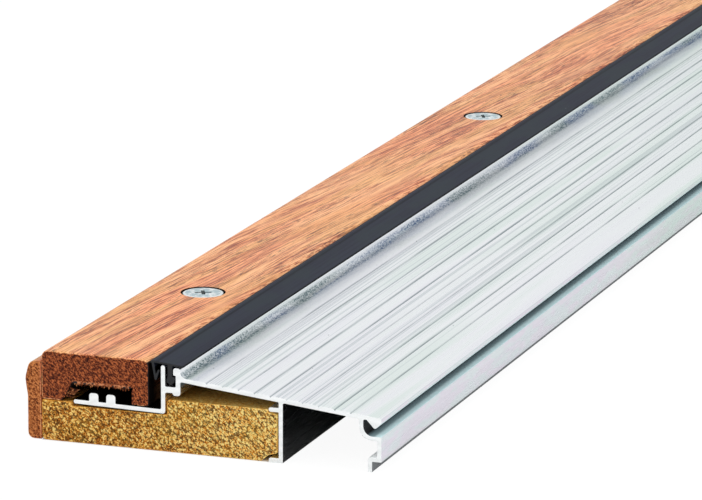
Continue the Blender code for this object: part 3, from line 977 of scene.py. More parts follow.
def section(node: str) -> list[Vector]:
    """Read the section of a long node from the faces of its low-X end.

    Args:
        node: The node's name.

    Returns:
        The (y, z) corners of its outline in millimetres, counter-clockwise seen from +X.
    """
    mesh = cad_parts[node].data
    end = min(v.co.x for v in mesh.vertices)
    steps: set[tuple] = set()
    for polygon in mesh.polygons:
        corners = [mesh.vertices[i].co for i in polygon.vertices]
        if max(corner.x for corner in corners) - end > 1e-6:
            continue
        keys = [(round(corner.y / MM, 4), round(corner.z / MM, 4)) for corner in corners]
        for step in zip(keys, keys[1:] + keys[:1]):
            if step[::-1] in steps:
                steps.remove(step[::-1])
            else:
                steps.add(step)
    onward = dict(steps)
    here = start = min(onward)
    outline = []
    while True:
        outline.append(Vector(here))
        here = onward[here]
        if here == start:
            break
    twice_area = sum(a.x * b.y - b.x * a.y for a, b in zip(outline, outline[1:] + outline[:1]))
    return outline if twice_area > 0 else outline[::-1]


def inside(point: Vector, outline: Sequence[Vector]) -> bool:
    """Say whether a (y, z) point lies within a closed outline.

    Args:
        point: The point.
        outline: The outline's corners.

    Returns:
        Whether it lies within.
    """
    within = False
    for a, b in zip(outline, [*outline[1:], outline[0]]):
        if (a.y > point.y) != (b.y > point.y):
            within ^= point.x < a.x + (b.x - a.x) * (point.y - a.y) / (b.y - a.y)
    return within


def clearance(point: Vector, outline: Sequence[Vector]) -> float:
    """Measure how far a (y, z) point is from the nearest corner of an outline."""
    return min((corner - point).length_squared for corner in outline) ** 0.5


def rough(place: Vector, scale: float, seed: float = 0.0) -> float:
    """Give smooth noise from 0 to 1 at a place, with a repeat of about 1 / scale."""
    return 0.5 + 0.5 * noise.noise(place * scale + Vector((seed, -seed, 2 * seed)))


def fade(distance: float, reach: float) -> float:
    """Fall smoothly from 1 at no distance to 0 at a reach."""
    share = min(max(distance / reach, 0.0), 1.0)
    return 1 - share * share * (3 - 2 * share)


# ---------------------------------------------------------------- long pieces


@dataclass
class LongPiece:
    """A piece of one section that runs the whole length of the sill.

    Attributes:
        name: The piece's name.
        node: The designed node that it stands in for.
        body: The body that it rides on.
        slot: The material slot that it fills. It is not used.
        step: The longest step round the outline.
        stride: The longest step along the sill.
        edge: The radius that the sawn ends' edges are broken to.
        end_step: The pitch of the points on a sawn end, or 0 for a flat one.
        tear: How deep the saw tore the end, at most.
        tear_reach: How far from the end the tearing is felt.
        sway: How far the faces are planed in unevenly.
        sway_run: The length along the sill of that unevenness.
    """

    name: str = ""
    node: str = ""
    body: Body = Body.SILL
    slot: Slot = Slot.ALUMINIUM
    step: float = 1.2
    stride: float = 24.0
    edge: float = 0.12
    end_step: float = 0.0
    tear: float = 0.0
    tear_reach: float = 2.5
    sway: float = 0.0
    sway_run: float = 30.0

    def materials(self) -> tuple[bpy.types.Material, ...]:
        """Give the finishes of the faces and of the sawn ends."""
        raise NotImplementedError

    def cutters(self, shell: Shell) -> None:
        """Add what is drilled out of the piece to a shell of closed bodies."""

    def extras(self, shell: Shell) -> None:
        """Add loose detail, as closed bodies rooted in the piece."""

    def outline(self) -> list[Vector]:
        """Give the section's outline with steps no longer than the piece's own."""
        corners = section(self.node)
        fine = []
        for a, b in zip(corners, corners[1:] + corners[:1]):
            parts = max(1, math.ceil((b - a).length / self.step))
            fine += [a.lerp(b, k / parts) for k in range(parts)]
        return fine

    def stations(self, half: float) -> list[tuple[float, float]]:
        """List the places along the sill where the outline is repeated.

        Args:
            half: Half the length.

        Returns:
            Pairs of x and how far the outline is drawn in there.
        """
        near = []
        for angle in (90, 45, 0):
            sine, cosine = math.sin(math.radians(angle)), math.cos(math.radians(angle))
            near.append((self.edge * (1 - sine), self.edge * (1 - cosine)))
        if self.tear:
            near += [(self.edge + self.tear_reach * share, 0.0) for share in (0.1, 0.25, 0.45, 0.7, 1.0)]
        start = near[-1][0]
        count = math.ceil(2 * (half - start) / self.stride)
        middle = [(-half + start + 2 * (half - start) * k / count, 0.0) for k in range(1, count)]
        low = [(-half + distance, inset) for distance, inset in near]
        high = [(half - distance, inset) for distance, inset in reversed(near)]
        return low + middle + high

    def worked(self, place: Vector, inward: Vector, half: float) -> Vector:
        """Move a corner from its exact place to where saw and plane left it.

        Args:
            place: The exact place.
            inward: The direction into the piece across the sill, or zero on a sawn face.
            half: Half the sill's length.

        Returns:
            The worked place, never outside the exact shape.
        """
        moved = place.copy()
        if self.sway:
            slow = Vector((place.x / self.sway_run, place.y / 9, place.z / 9))
            moved += inward * self.sway * rough(slow, 1.0, 3.0)
        if self.tear:
            felt = fade(half - abs(place.x) - self.edge, self.tear_reach)
            spot = place * Vector((0.2, 1, 1))
            torn = 0.6 * rough(spot, 0.55) + 0.6 * rough(spot, 1.3, 5.0)
            moved.x -= math.copysign(self.tear * felt * max(torn - 0.2, 0.0), place.x)
        return moved

    def build(self) -> bpy.types.Object:
        """Make the piece and attach it where it belongs."""
        half = extent(self.node)[1].x
        outline = self.outline()
        inward = self._inward(outline)
        shell = Shell()
        rings = self.stations(half)
        corners = []
        for x, inset in rings:
            for spot, turn in zip(outline, inward):
                exact = Vector((x, *(spot + turn * inset)))
                corners.append(self.worked(exact, Vector((0, *turn)), half))
        count = len(outline)
        faces = []
        for ring in range(len(rings) - 1):
            for i in range(count):
                j = (i + 1) % count
                a, b = ring * count, (ring + 1) * count
                faces.append((a + i, a + j, b + j, b + i))
        shell.add(corners, faces, Face.SIDE)
        sawn = [spot + turn * self.edge for spot, turn in zip(outline, inward)]
        self._close(shell, sawn, -half, 0)
        self._close(shell, sawn, half, (len(rings) - 1) * count)
        materials = self.materials()
        made = shell.placed(self.name, materials)
        drilled = Shell()
        self.cutters(drilled)
        if drilled.faces:
            carve(made, drilled.placed(self.name + "_drilled", materials))
        smooth(made)
        loose = Shell()
        self.extras(loose)
        if loose.faces:
            join(made, loose.placed(self.name + "_loose", materials))
        attach(made, self.body.value, self.node)
        return made

    @staticmethod
    def _inward(outline: Sequence[Vector]) -> list[Vector]:
        """Give the direction into the piece at each corner of an outline.

        Args:
            outline: The corners, counter-clockwise.

        Returns:
            One direction for each corner, longer where the corner is sharp.
        """
        turns = []
        for before, here, after in zip([outline[-1], *outline[:-1]], outline, [*outline[1:], outline[0]]):
            first, second = (here - before).normalized(), (after - here).normalized()
            along = (first + second).normalized()
            mitre = max(along.dot(first), 0.5)
            turns.append(Vector((-along.y, along.x)) / mitre)
        return turns

    def _close(self, shell: Shell, sawn: list[Vector], x: float, first: int) -> None:
        """Close one end with triangles over the last outline and points within it.

        Args:
            shell: The piece so far.
            sawn: The outline of the sawn face.
            x: Where the end is.
            first: The index of the last outline's first corner.
        """
        points = list(sawn)
        if self.end_step:
            points += self._grid(sawn)
        count = len(sawn)
        spots, _, triangles, origins, _, _ = geometry.delaunay_2d_cdt(
            points, [], [list(range(count))], 1, 1e-5)
        index = {}
        for spot, origin, i in zip(spots, origins, range(len(spots))):
            source = min(origin) if origin else None
            if source is not None and source < count:
                index[i] = first + source
            else:
                index[i] = len(shell.corners)
                exact = Vector((x, *spot))
                shell.corners.append(self.worked(exact, Vector(), abs(x)))
        for triangle in triangles:
            face = tuple(index[i] for i in triangle)
            shell.faces.append(face if x > 0 else face[::-1])
            shell.kinds.append(Face.SAWN)

    def _grid(self, sawn: list[Vector]) -> list[Vector]:
        """Scatter points over a sawn face, clear of its outline.

        Args:
            sawn: The face's outline.

        Returns:
            The points, in staggered rows.
        """
        ys, zs = [spot.x for spot in sawn], [spot.y for spot in sawn]
        points = []
        for row in range(int((max(zs) - min(zs)) / self.end_step) + 1):
            for column in range(int((max(ys) - min(ys)) / self.end_step) + 1):
                stagger = Vector((row % 2 * 0.5, 0))
                spot = Vector((min(ys), min(zs))) + (Vector((column, row)) + stagger) * self.end_step
                if inside(spot, sawn) and clearance(spot, sawn) > 0.5 * self.end_step:
                    points.append(spot)
        return points


def join(made: bpy.types.Object, loose: bpy.types.Object) -> None:
    """Add the bodies of one object to another.

    Args:
        made: The object that grows.
        loose: The object that it takes in, which is removed.
    """
    merged = bmesh.new()
    merged.from_mesh(made.data)
    merged.from_mesh(loose.data)
    merged.to_mesh(made.data)
    merged.free()
    bpy.data.objects.remove(loose, do_unlink=True)


def attach(made: bpy.types.Object, body: str, node: str) -> None:
    """Let a piece ride on its body, in place of its designed node.

    Args:
        made: The piece.
        body: The body's name.
        node: The node that it replaces.
    """
    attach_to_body(made, body)
    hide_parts(node)
    LOG.info("%s: %d faces, for %s", made.name, len(made.data.polygons), node)


def centres(prefix: str) -> list[Vector]:
    """Give the middles of numbered nodes, in order of their number.

    Args:
        prefix: The nodes' name without its number.

    Returns:
        The middles in millimetres.
    """
    found = []
    while f"{prefix}_{len(found) + 1}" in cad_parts:
        low, high = extent(f"{prefix}_{len(found) + 1}")
        found.append((low + high) / 2)
    return found


def upright(place: Vector) -> Matrix:
    """Give the matrix of a vertical axis through a place."""
    return Matrix.Translation((place.x, place.y, 0))


def roomward(place: Vector) -> Matrix:
    """Give the matrix of an axis along +Y through a place."""
    return Matrix.Translation((place.x, 0, place.z)) @ Matrix.Rotation(-math.pi / 2, 4, "X")


def bores(
    shell: Shell, prefix: str, axis: Callable[[Vector], Matrix], radius: float, low: float, high: float
) -> None:
    """Add a plain round hole for each numbered node.

    Args:
        shell: Where they are added.
        prefix: The nodes' name without its number.
        axis: Gives the matrix of the axis through a node's middle.
        radius: The holes' radius.
        low: Where they begin along the axis.
        high: Where they end.
    """
    profile = [(0, low), (radius, low), (radius, high), (0, high)]
    for place in centres(prefix):
        turned(shell, profile, 32, axis(place), Face.SAWN)


def splinter(shell: Shell, root: Vector, tip: Vector, width: float) -> None:
    """Add one torn fibre, a bent three-sided spike.

    Args:
        shell: Where it is added.
        root: Its middle at the root, within the wood.
        tip: Where it ends.
        width: Its half width at the root.
    """
    along = (tip - root).normalized()
    across = along.cross(Vector((1, 0, 0.2))).normalized()
    out = along.cross(across)
    start = root - along * 0.5
    rings = []
    for share, size in ((0.0, 1.0), (0.5, 0.62), (0.85, 0.28)):
        middle = start.lerp(tip, share) + out * width * 0.4 * math.sin(math.pi * share)
        for turn in range(3):
            angle = 2 * math.pi * turn / 3
            spoke = across * math.cos(angle) + out * math.sin(angle)
            rings.append(middle + spoke * width * size)
    rings.append(tip)
    faces = [(0, 2, 1)]
    for ring in (0, 3):
        for i in range(3):
            j = (i + 1) % 3
            faces.append((ring + i, ring + j, ring + 3 + j, ring + 3 + i))
    faces += [(6 + i, 6 + (i + 1) % 3, 9) for i in range(3)]
    shell.add(rings, faces, Face.TORN)


@dataclass
class ExtrudedSill(LongPiece):
    """The aluminium extrusion: screw race, trough, grooved deck, leg and weather nose."""

    name: str = "sill_extrusion"
    node: str = "aluminium_sill"
    step: float = 2.5
    stride: float = 30.0
    edge: float = 0.1
    screw_hole: float = 2.4
    flange_hole: float = 1.7
    under_flange: float = 10.0
    over_posts: float = 24.0
    over_flange: float = 18.6
    finish: MillAluminium = MillAluminium("mill_aluminium")

    def materials(self) -> tuple[bpy.types.Material, ...]:
        """Give the extruded and the saw-cut finish."""
        return self.finish.extruded(), self.finish.sawn()

    def cutters(self, shell: Shell) -> None:
        """Drill the race for the adjusting screws and the flange for its own."""
        bores(shell, "adjusting_screw", upright, self.screw_hole, self.under_flange, self.over_posts)
        bores(shell, "flange_screw", upright, self.flange_hole, self.under_flange, self.over_flange)


@dataclass
class OakPiece(LongPiece):
    """A long piece of oak, torn a little where it was sawn."""

    step: float = 0.9
    stride: float = 12.0
    end_step: float = 0.8
    finish: Oak = Oak("oak")

    def materials(self) -> tuple[bpy.types.Material, ...]:
        """Give the planed, the sawn and the torn finish."""
        return self.finish.long_grain(), self.finish.end_grain(), self.finish.torn()


@dataclass
class OakCap(OakPiece):
    """The oak cap: planed faces, counterbores, and a channel that the saw tore at the end.

    Attributes:
        channel: The span of y of the channel.
        ceiling: The height of its ceiling.
        slope_top: The (y, z) at which its sloping room-side wall leaves the ceiling.
        slope_run: How far that wall runs from there, across and up.
        channel_reach: How far from the sawn end the channel is torn.
        channel_tear: How deep it is torn, at most.
        top_chip: How deep the top's end is chipped, at most.
        chip_reach: How far from the end and below the top it is chipped.
        splinter_count: How many splinters hang from the sloping wall at each end.
        fringe_count: How many hang from the ceiling.
        fringe: The span of y of those.
    """

    name: str = "oak_cap"
    node: str = "hardwood_cap"
    body: Body = Body.CAP
    slot: Slot = Slot.CAP_OAK
    edge: float = 0.3
    tear: float = 0.5
    sway: float = 0.06
    shank_hole: float = 2.4
    bore_radius: float = 8.85
    bore_floor: float = 32.0
    bore_chamfer: float = 0.1
    channel: tuple[float, float] = (28.3, 55.4)
    ceiling: float = 22.8
    slope_top: tuple[float, float] = (51.9, 22.6)
    slope_run: tuple[float, float] = (3.6, -6.4)
    channel_reach: float = 4.0
    channel_tear: float = 2.0
    top_chip: float = 1.0
    chip_reach: float = 1.4
    splinter_count: int = 24
    fringe_count: int = 34
    fringe: tuple[float, float] = (29.2, 51.6)
    finish: Oak = Oak("cap_oak")

    def worked(self, place: Vector, inward: Vector, half: float) -> Vector:
        """Move a corner as the saw and plane left it, with chipped edges at the ends.

        Args:
            place: The exact place.
            inward: The direction into the piece across the sill, or zero on a sawn face.
            half: Half the sill's length.

        Returns:
            The worked place.
        """
        moved = super().worked(place, inward, half)
        distance = half - abs(place.x)
        if distance > self.channel_reach:
            return moved
        top = extent(self.node)[1].z
        chip = max(rough(Vector((0, place.y, place.x * 0.3)), 1.1, 7.0) - 0.42, 0.0) * 2
        near = fade(distance, self.chip_reach) * fade(top - place.z, self.chip_reach)
        moved.z -= self.top_chip * chip * near
        low, high = self.channel
        if low - 0.1 < place.y < high + 0.4 and place.z < self.ceiling + 0.1 and inward.length > 0:
            torn = self.channel_tear * fade(distance, self.channel_reach)
            moved += inward * torn * (0.5 * rough(place, 0.6, 11.0) + 0.5 * rough(place, 1.4, 4.0))
        return moved

    def cutters(self, shell: Shell) -> None:
        """Bore the seats of the adjusting screws from above, and their holes right through."""
        top = extent(self.node)[1].z
        bores(shell, "adjusting_screw", upright, self.shank_hole, self.ceiling - 3, self.bore_floor + 1)
        for place in centres("adjusting_screw"):
            wide = self.bore_radius + self.bore_chamfer * 2
            profile = [
                (0, self.bore_floor),
                (self.bore_radius, self.bore_floor),
                (self.bore_radius, top - self.bore_chamfer),
                (wide, top + self.bore_chamfer),
                (0, top + 1),
            ]
            turned(shell, profile, 72, upright(place), Face.SAWN)

    def extras(self, shell: Shell) -> None:
        """Leave splinters hanging in the channel at both sawn ends."""
        for end in (-1, 1):
            for k in range(self.splinter_count):
                self._hang(shell, end, k)
            for k in range(self.fringe_count):
                self._fray(shell, end, k)

    def _hang(self, shell: Shell, end: int, k: int) -> None:
        """Add one splinter of the sloping wall.

        Args:
            shell: Where it is added.
            end: 1 at the sill's high-X end and -1 at the other.
            k: Which one it is.
        """
        half = extent(self.node)[1].x
        share, spread, depth = (rough(Vector((end * 3.1, k * 1.7, 0.4)), 1.3, s) for s in (1.0, 2.0, 3.0))
        (y, z), (run, rise) = self.slope_top, self.slope_run
        root = Vector((end * (half - 0.5 - 2.2 * depth), y + run * share, z + rise * share))
        tip = root + Vector((end * (spread - 0.4), -1.6 - 2.6 * spread, -0.9 + 1.2 * depth))
        splinter(shell, root, tip, 0.12 + 0.3 * spread * depth)

    def _fray(self, shell: Shell, end: int, k: int) -> None:
        """Add one splinter of the ceiling's fringe.

        Args:
            shell: Where it is added.
            end: 1 at the sill's high-X end and -1 at the other.
            k: Which one it is.
        """
        half = extent(self.node)[1].x
        share, spread, depth = (rough(Vector((end * 1.9, k * 2.3, 0.7)), 1.3, s) for s in (4.0, 5.0, 6.0))
        low, high = self.fringe
        y = low + (high - low) * (k + share) / self.fringe_count
        root = Vector((end * (half - 0.75 - 0.5 * depth), y, self.ceiling + 0.3))
        drop = 0.5 + 2.2 * max(spread - 0.25, 0.0)
        tip = root + Vector((end * 0.25, 1.6 * (depth - 0.5), -drop))
        splinter(shell, root, tip, 0.3 + 0.4 * share)


@dataclass
class OakNosing(OakPiece):
    """The oak nosing on the room side, darker than the cap.

    Attributes:
        brad_hole: The radius of the brads' holes.
        mouth: Their radius at the face, above the set heads.
        mouth_floor: How far in, along y, they are that wide.
        face: A y outside the face.
        back: A y behind the nosing.
        chip_root: The (y, z) where the chip over the joint hangs on.
        chip_tip: The (y, z) where it ends.
        chip_inset: How far in from the sawn end it hangs.
        chip_width: Half its width.
    """

    name: str = "oak_nosing"
    node: str = "hardwood_nosing"
    slot: Slot = Slot.NOSING_OAK
    edge: float = 0.35
    tear: float = 0.35
    sway: float = 0.05
    brad_hole: float = 1.1
    mouth: float = 1.4
    mouth_floor: float = 68.5
    face: float = 75.0
    back: float = 60.0
    chip_root: tuple[float, float] = (65.2, 8.6)
    chip_tip: tuple[float, float] = (63.2, 2.2)
    chip_inset: float = 0.8
    chip_width: float = 0.72
    finish: Oak = Oak(
        "nosing_oak",
        light=linear(214, 140, 92),
        middle=linear(186, 112, 70),
        dark=linear(134, 72, 42),
        end_light=linear(210, 132, 74),
        end_middle=linear(144, 74, 30),
        end_dark=linear(70, 24, 4),
        shift=90.0,
        painted_shade_places=(),
    )

    def extras(self, shell: Shell) -> None:
        """Leave a chip hanging over the joint with the base at both sawn ends."""
        half = extent(self.node)[1].x
        for x in (-half + self.chip_inset, half - self.chip_inset):
            root, tip = Vector((x, *self.chip_root)), Vector((x, *self.chip_tip))
            splinter(shell, root, tip, self.chip_width)

    def cutters(self, shell: Shell) -> None:
        """Drill the brads' holes, wider above their heads."""
        profile = [
            (0, self.back),
            (self.brad_hole, self.back),
            (self.brad_hole, self.mouth_floor),
            (self.mouth, self.mouth_floor),
            (self.mouth, self.face),
            (0, self.face),
        ]
        for place in centres("nosing_brad"):
            turned(shell, profile, 24, roomward(place), Face.SAWN)


@dataclass
class CompositeBase(LongPiece):
    """The composite base under extrusion and cap, crumbly where it was sawn."""

    name: str = "chip_base"
    node: str = "composite_substrate"
    slot: Slot = Slot.BOARD
    step: float = 1.0
    stride: float = 16.0
    edge: float = 0.3
    end_step: float = 0.8
    tear: float = 0.55
    tear_reach: float = 1.8
    sway: float = 0.08
    sway_run: float = 12.0
    screw_hole: float = 2.4
    screw_floor: float = 2.8
    flange_hole: float = 1.7
    flange_floor: float = 5.8
    brad_hole: float = 1.1
    brad_end: float = 45.2
    over: float = 18.0
    room: float = 70.0
    finish: Board = Board("composite_board")

    def materials(self) -> tuple[bpy.types.Material, ...]:
        """Give the pressed and the sawn finish."""
        return self.finish.pressed(), self.finish.sawn()

    def cutters(self, shell: Shell) -> None:
        """Drill the pilots of every screw and brad."""
        bores(shell, "adjusting_screw", upright, self.screw_hole, self.screw_floor, self.over)
        bores(shell, "flange_screw", upright, self.flange_hole, self.flange_floor, self.over)
        bores(shell, "nosing_brad", roomward, self.brad_hole, self.brad_end, self.room)


@dataclass
class SealStrip(LongPiece):
    """The charcoal vinyl strip between cap and metal."""

    name: str = "seal_strip"
    node: str = "vinyl_seal_strip"
    slot: Slot = Slot.VINYL
    step: float = 1.0
    stride: float = 18.0
    edge: float = 0.06
    tear: float = 0.25
    tear_reach: float = 3.0
    finish: Vinyl = Vinyl("charcoal_vinyl")

    def materials(self) -> tuple[bpy.types.Material, ...]:
        """Give the skin and the cut finish."""
        return self.finish.skin(), self.finish.cut()


# ---------------------------------------------------------------- fasteners


@dataclass(frozen=True)
class Thread:
    """A rolled screw thread between two heights.

    Attributes:
        pitch: The rise of one turn.
        depth: How far the root lies below the crest.
        low: Where the thread begins.
        high: Where it runs out.
    """

    pitch: float
    depth: float
    low: float
    high: float

    def rows(self, per_turn: int = 8) -> list[float]:
        """List the heights that show the thread."""
        count = round((self.high - self.low) / self.pitch * per_turn)
        return [self.low + (self.high - self.low) * k / count for k in range(count + 1)]

    def cut(self, radius: float, height: float, angle: float) -> float:
        """Cut the thread into a blank.

        Args:
            radius: The blank's radius.
            height: The height on it.
            angle: The angle round it, in radians.

        Returns:
            The radius that is left there.
        """
        if not self.low <= height <= self.high:
            return radius
        phase = (height / self.pitch - angle / (2 * math.pi)) % 1.0
        groove = min(1.0, 2.6 * min(phase, 1 - phase))
        runout = min(1.0, (self.high - height) / self.pitch)
        return radius - self.depth * (1 - groove) * runout


def cross(
    levels: Sequence[tuple[float, float, float]], turn: float, finish: bpy.types.Material
) -> bpy.types.Object:
    """Make the closed cross that is cut out of a head for its driver.

    Args:
        levels: Its height, reach and half width at each level, from the top down.
        turn: How far its arms are turned from the sill's axes, in degrees.
        finish: The finish of the cut.

    Returns:
        The cross, about its own upright axis.
    """
    corners = []
    for height, reach, width in levels:
        for quarter in range(4):
            arm = Matrix.Rotation(math.radians(turn + 90 * quarter), 4, "Z")
            for x, y in ((reach, -width), (reach, width), (width, width)):
                corners.append(arm @ Vector((x, y, height)))
    count = len(corners) // len(levels)
    lowest = len(corners) - count
    faces = [tuple(range(count)), tuple(range(lowest + count - 1, lowest - 1, -1))]
    for level in range(0, lowest, count):
        for i in range(count):
            j = (i + 1) % count
            faces.append((level + count + i, level + count + j, level + j, level + i))
    shell = Shell()
    shell.add(corners, faces, Face.SIDE)
    return shell.placed("cross", [finish])


@dataclass
class Fastener:
    """A fastener that stands in for one numbered node.

    Attributes:
        number: Its number, from 1.
        finish: Its material.
        name: The piece's name without its number.
        node: The node's name without its number.
        body: The body that it rides on, where {} stands for its number.
        slot: The material slot that it fills. It is not used.
        crease: The angle up to which it is shaded smooth.
    """

    number: int
    finish: bpy.types.Material
    name: str = ""
    node: str = ""
    body: str = Body.SILL.value
    slot: Slot = Slot.STEEL
    crease: float = 35.0

    def shape(self, shell: Shell, low: Vector, high: Vector) -> None:
        """Add its body, about its own axis.

        Args:
            shell: Where it is added.
            low: Its node's lowest corner.
            high: Its node's highest corner.
        """
        raise NotImplementedError

    def recess(self, top: float) -> bpy.types.Object | None:
        """Make what its driver fits into, or nothing, from the height of its top."""
        return None

    def origin(self, middle: Vector) -> Vector:
        """Give the place of its axis from its node's middle."""
        return Vector((middle.x * MM, middle.y * MM, 0))

    def build(self) -> bpy.types.Object:
        """Make the fastener where its node is."""
        node = f"{self.node}_{self.number}"
        low, high = extent(node)
        shell = Shell()
        self.shape(shell, low, high)
        made = shell.placed(f"{self.name}_{self.number}", [self.finish])
        recess = self.recess(high.z)
        if recess:
            carve(made, recess)
        smooth(made, self.crease)
        made.location = self.origin((low + high) / 2)
        attach(made, self.body.format(self.number), node)
        return made


@dataclass
class AdjustingScrew(Fastener):
    """One broad-headed adjusting screw with a cross recess and a coarse thread.

    Attributes:
        shank: The thread's outer radius.
        tip: The height of its point.
        point: How long the point is.
        head: The head's radius.
        under: The height of the head's underside.
        rim: How thick the head is at its rim.
        dome: How far its middle stands above the rim.
        rounding: The radius of the rim's edge.
    """

    name: str = "adjuster"
    node: str = "adjusting_screw"
    body: str = "screw_{}"
    slot: Slot = Slot.ZINC
    shank: float = 2.1
    tip: float = 4.0
    point: float = 3.0
    head: float = 8.1
    under: float = 32.3
    rim: float = 2.4
    dome: float = 0.15
    rounding: float = 0.35
    thread: Thread = Thread(pitch=1.69, depth=0.5, low=7.0, high=22.0)
    recess_reach: float = 3.3
    recess_half_width: float = 0.72
    recess_depth: float = 1.8
    recess_turn: float = 25.0

    def shape(self, shell: Shell, low: Vector, high: Vector) -> None:
        """Turn the point, the thread, the neck and the head."""
        profile = [(0, self.tip), (0.25, self.tip + 0.1), (self.shank, self.tip + self.point)]
        profile += [(self.shank, height) for height in self.thread.rows()[1:]]
        profile += [(self.shank, self.under - 0.5), (self.shank + 0.4, self.under)]
        profile += [(self.head - 0.4, self.under), (self.head, self.under + 0.4)]
        profile += self._crown()
        turned(shell, profile, 64, Matrix.Identity(4), Face.SIDE, self.thread.cut)

    def _crown(self) -> list[tuple[float, float]]:
        """Give the head's top: a rounded rim and a shallow dome.

        Returns:
            The (radius, height) points from the rim to the axis.
        """
        edge = self.under + self.rim
        radius = (self.head ** 2 + self.dome ** 2) / (2 * self.dome)
        points = []
        for angle in (0, 30, 60):
            sine, cosine = math.sin(math.radians(angle)), math.cos(math.radians(angle))
            points.append((self.head - self.rounding * (1 - cosine), edge - self.rounding * (1 - sine)))
        for k in range(9):
            r = (self.head - self.rounding) * (1 - k / 8)
            points.append((r, edge + self.dome - radius + math.sqrt(radius ** 2 - r ** 2)))
        return points

    def recess(self, top: float) -> bpy.types.Object:
        """Make the tapered cross that the driver fits.

        Args:
            top: The height of the head's top.

        Returns:
            The cross.
        """
        reach, width = self.recess_reach, self.recess_half_width
        levels = (
            (top + 0.5, reach * 1.12, width * 1.25),
            (top - 0.12, reach, width),
            (top - self.recess_depth * 0.8, reach * 0.62, width * 0.62),
            (top - self.recess_depth, reach * 0.4, width * 0.5),
        )
        return cross(levels, self.recess_turn, self.finish)


@dataclass
class ScrewRetainer(Fastener):
    """One push-on washer whose prongs grip the screw below the cap.

    Attributes:
        outer: Its outer radius.
        break_edge: How far its rim is broken.
        flat: The radius beyond which it is flat.
        prong: The radius that the prongs reach in to.
        notch: The radius of the notches between prongs.
        notch_span: Where the notch lies, as shares of a prong's pitch.
        prongs: How many prongs it has.
        facets: How many facets make one prong's pitch.
        thick: The sheet's thickness.
    """

    name: str = "retainer"
    node: str = "screw_retainer"
    body: str = "screw_{}"
    crease: float = 30.0
    outer: float = 5.0
    break_edge: float = 0.12
    flat: float = 3.5
    prong: float = 2.18
    notch: float = 3.3
    notch_span: tuple[float, float] = (0.38, 0.62)
    prongs: int = 6
    facets: int = 16
    thick: float = 0.45

    def shape(self, shell: Shell, low: Vector, high: Vector) -> None:
        """Sweep the washer's section round the axis, shorter and flat in the notches."""
        top, segments, broken = high.z, self.prongs * self.facets, self.outer - self.break_edge
        corners = []
        for i in range(segments):
            angle = 2 * math.pi * i / segments
            share = (i % self.facets) / self.facets
            notch = 1.0 if self.notch_span[0] < share < self.notch_span[1] else 0.0
            hole = self.prong + (self.notch - self.prong) * notch
            dish = (top - low.z - self.thick) * (1 - notch)
            loop = (
                (hole, top - dish),
                (hole, top - dish - self.thick),
                (self.flat, top - self.thick),
                (broken, top - self.thick),
                (self.outer, top - self.thick / 2),
                (broken, top),
                (self.flat, top),
            )
            for radius, height in loop:
                corners.append(Vector((radius * math.cos(angle), radius * math.sin(angle), height)))
        count = len(corners) // segments
        faces = []
        for i in range(segments):
            a, b = i * count, (i + 1) % segments * count
            for k in range(count):
                m = (k + 1) % count
                faces.append((a + k, b + k, b + m, a + m))
        shell.add(corners, faces, Face.SIDE)


@dataclass
class FlangeScrew(Fastener):
    """One small pan-head screw that holds the flange on the base.

    Attributes:
        shank: The thread's outer radius.
        head: The head's radius.
        head_height: The head's height.
        rounding: The radius of the pan's edge.
        recess_reach: How far the driving cross reaches.
        recess_half_width: Half the width of its arms.
        recess_depth: Its depth.
    """

    name: str = "pan_screw"
    node: str = "flange_screw"
    shank: float = 1.4
    head: float = 2.6
    head_height: float = 1.7
    rounding: float = 0.8
    thread: Thread = Thread(pitch=1.0, depth=0.35, low=8.5, high=15.6)
    recess_reach: float = 1.3
    recess_half_width: float = 0.32
    recess_depth: float = 0.8

    def shape(self, shell: Shell, low: Vector, high: Vector) -> None:
        """Turn the point, the thread and the pan head."""
        under = high.z - self.head_height
        profile = [(0, low.z), (self.shank, self.thread.low)]
        profile += [(self.shank, height) for height in self.thread.rows()[1:]]
        profile += [(self.shank, under), (self.head - 0.15, under), (self.head, under + 0.15)]
        middle, foot = self.head - self.rounding, high.z - self.rounding
        for angle in (0, 22.5, 45, 67.5, 90):
            sine, cosine = math.sin(math.radians(angle)), math.cos(math.radians(angle))
            profile.append((middle + self.rounding * cosine, foot + self.rounding * sine))
        profile.append((0, high.z))
        turned(shell, profile, 32, Matrix.Identity(4), Face.SIDE, self.thread.cut)

    def recess(self, top: float) -> bpy.types.Object:
        """Make the cross-shaped driving recess.

        Args:
            top: The height of the head's top.

        Returns:
            The cross.
        """
        reach, width = self.recess_reach, self.recess_half_width
        levels = ((top + 0.3, reach, width), (top - self.recess_depth, reach * 0.55, width))
        return cross(levels, 0.0, self.finish)


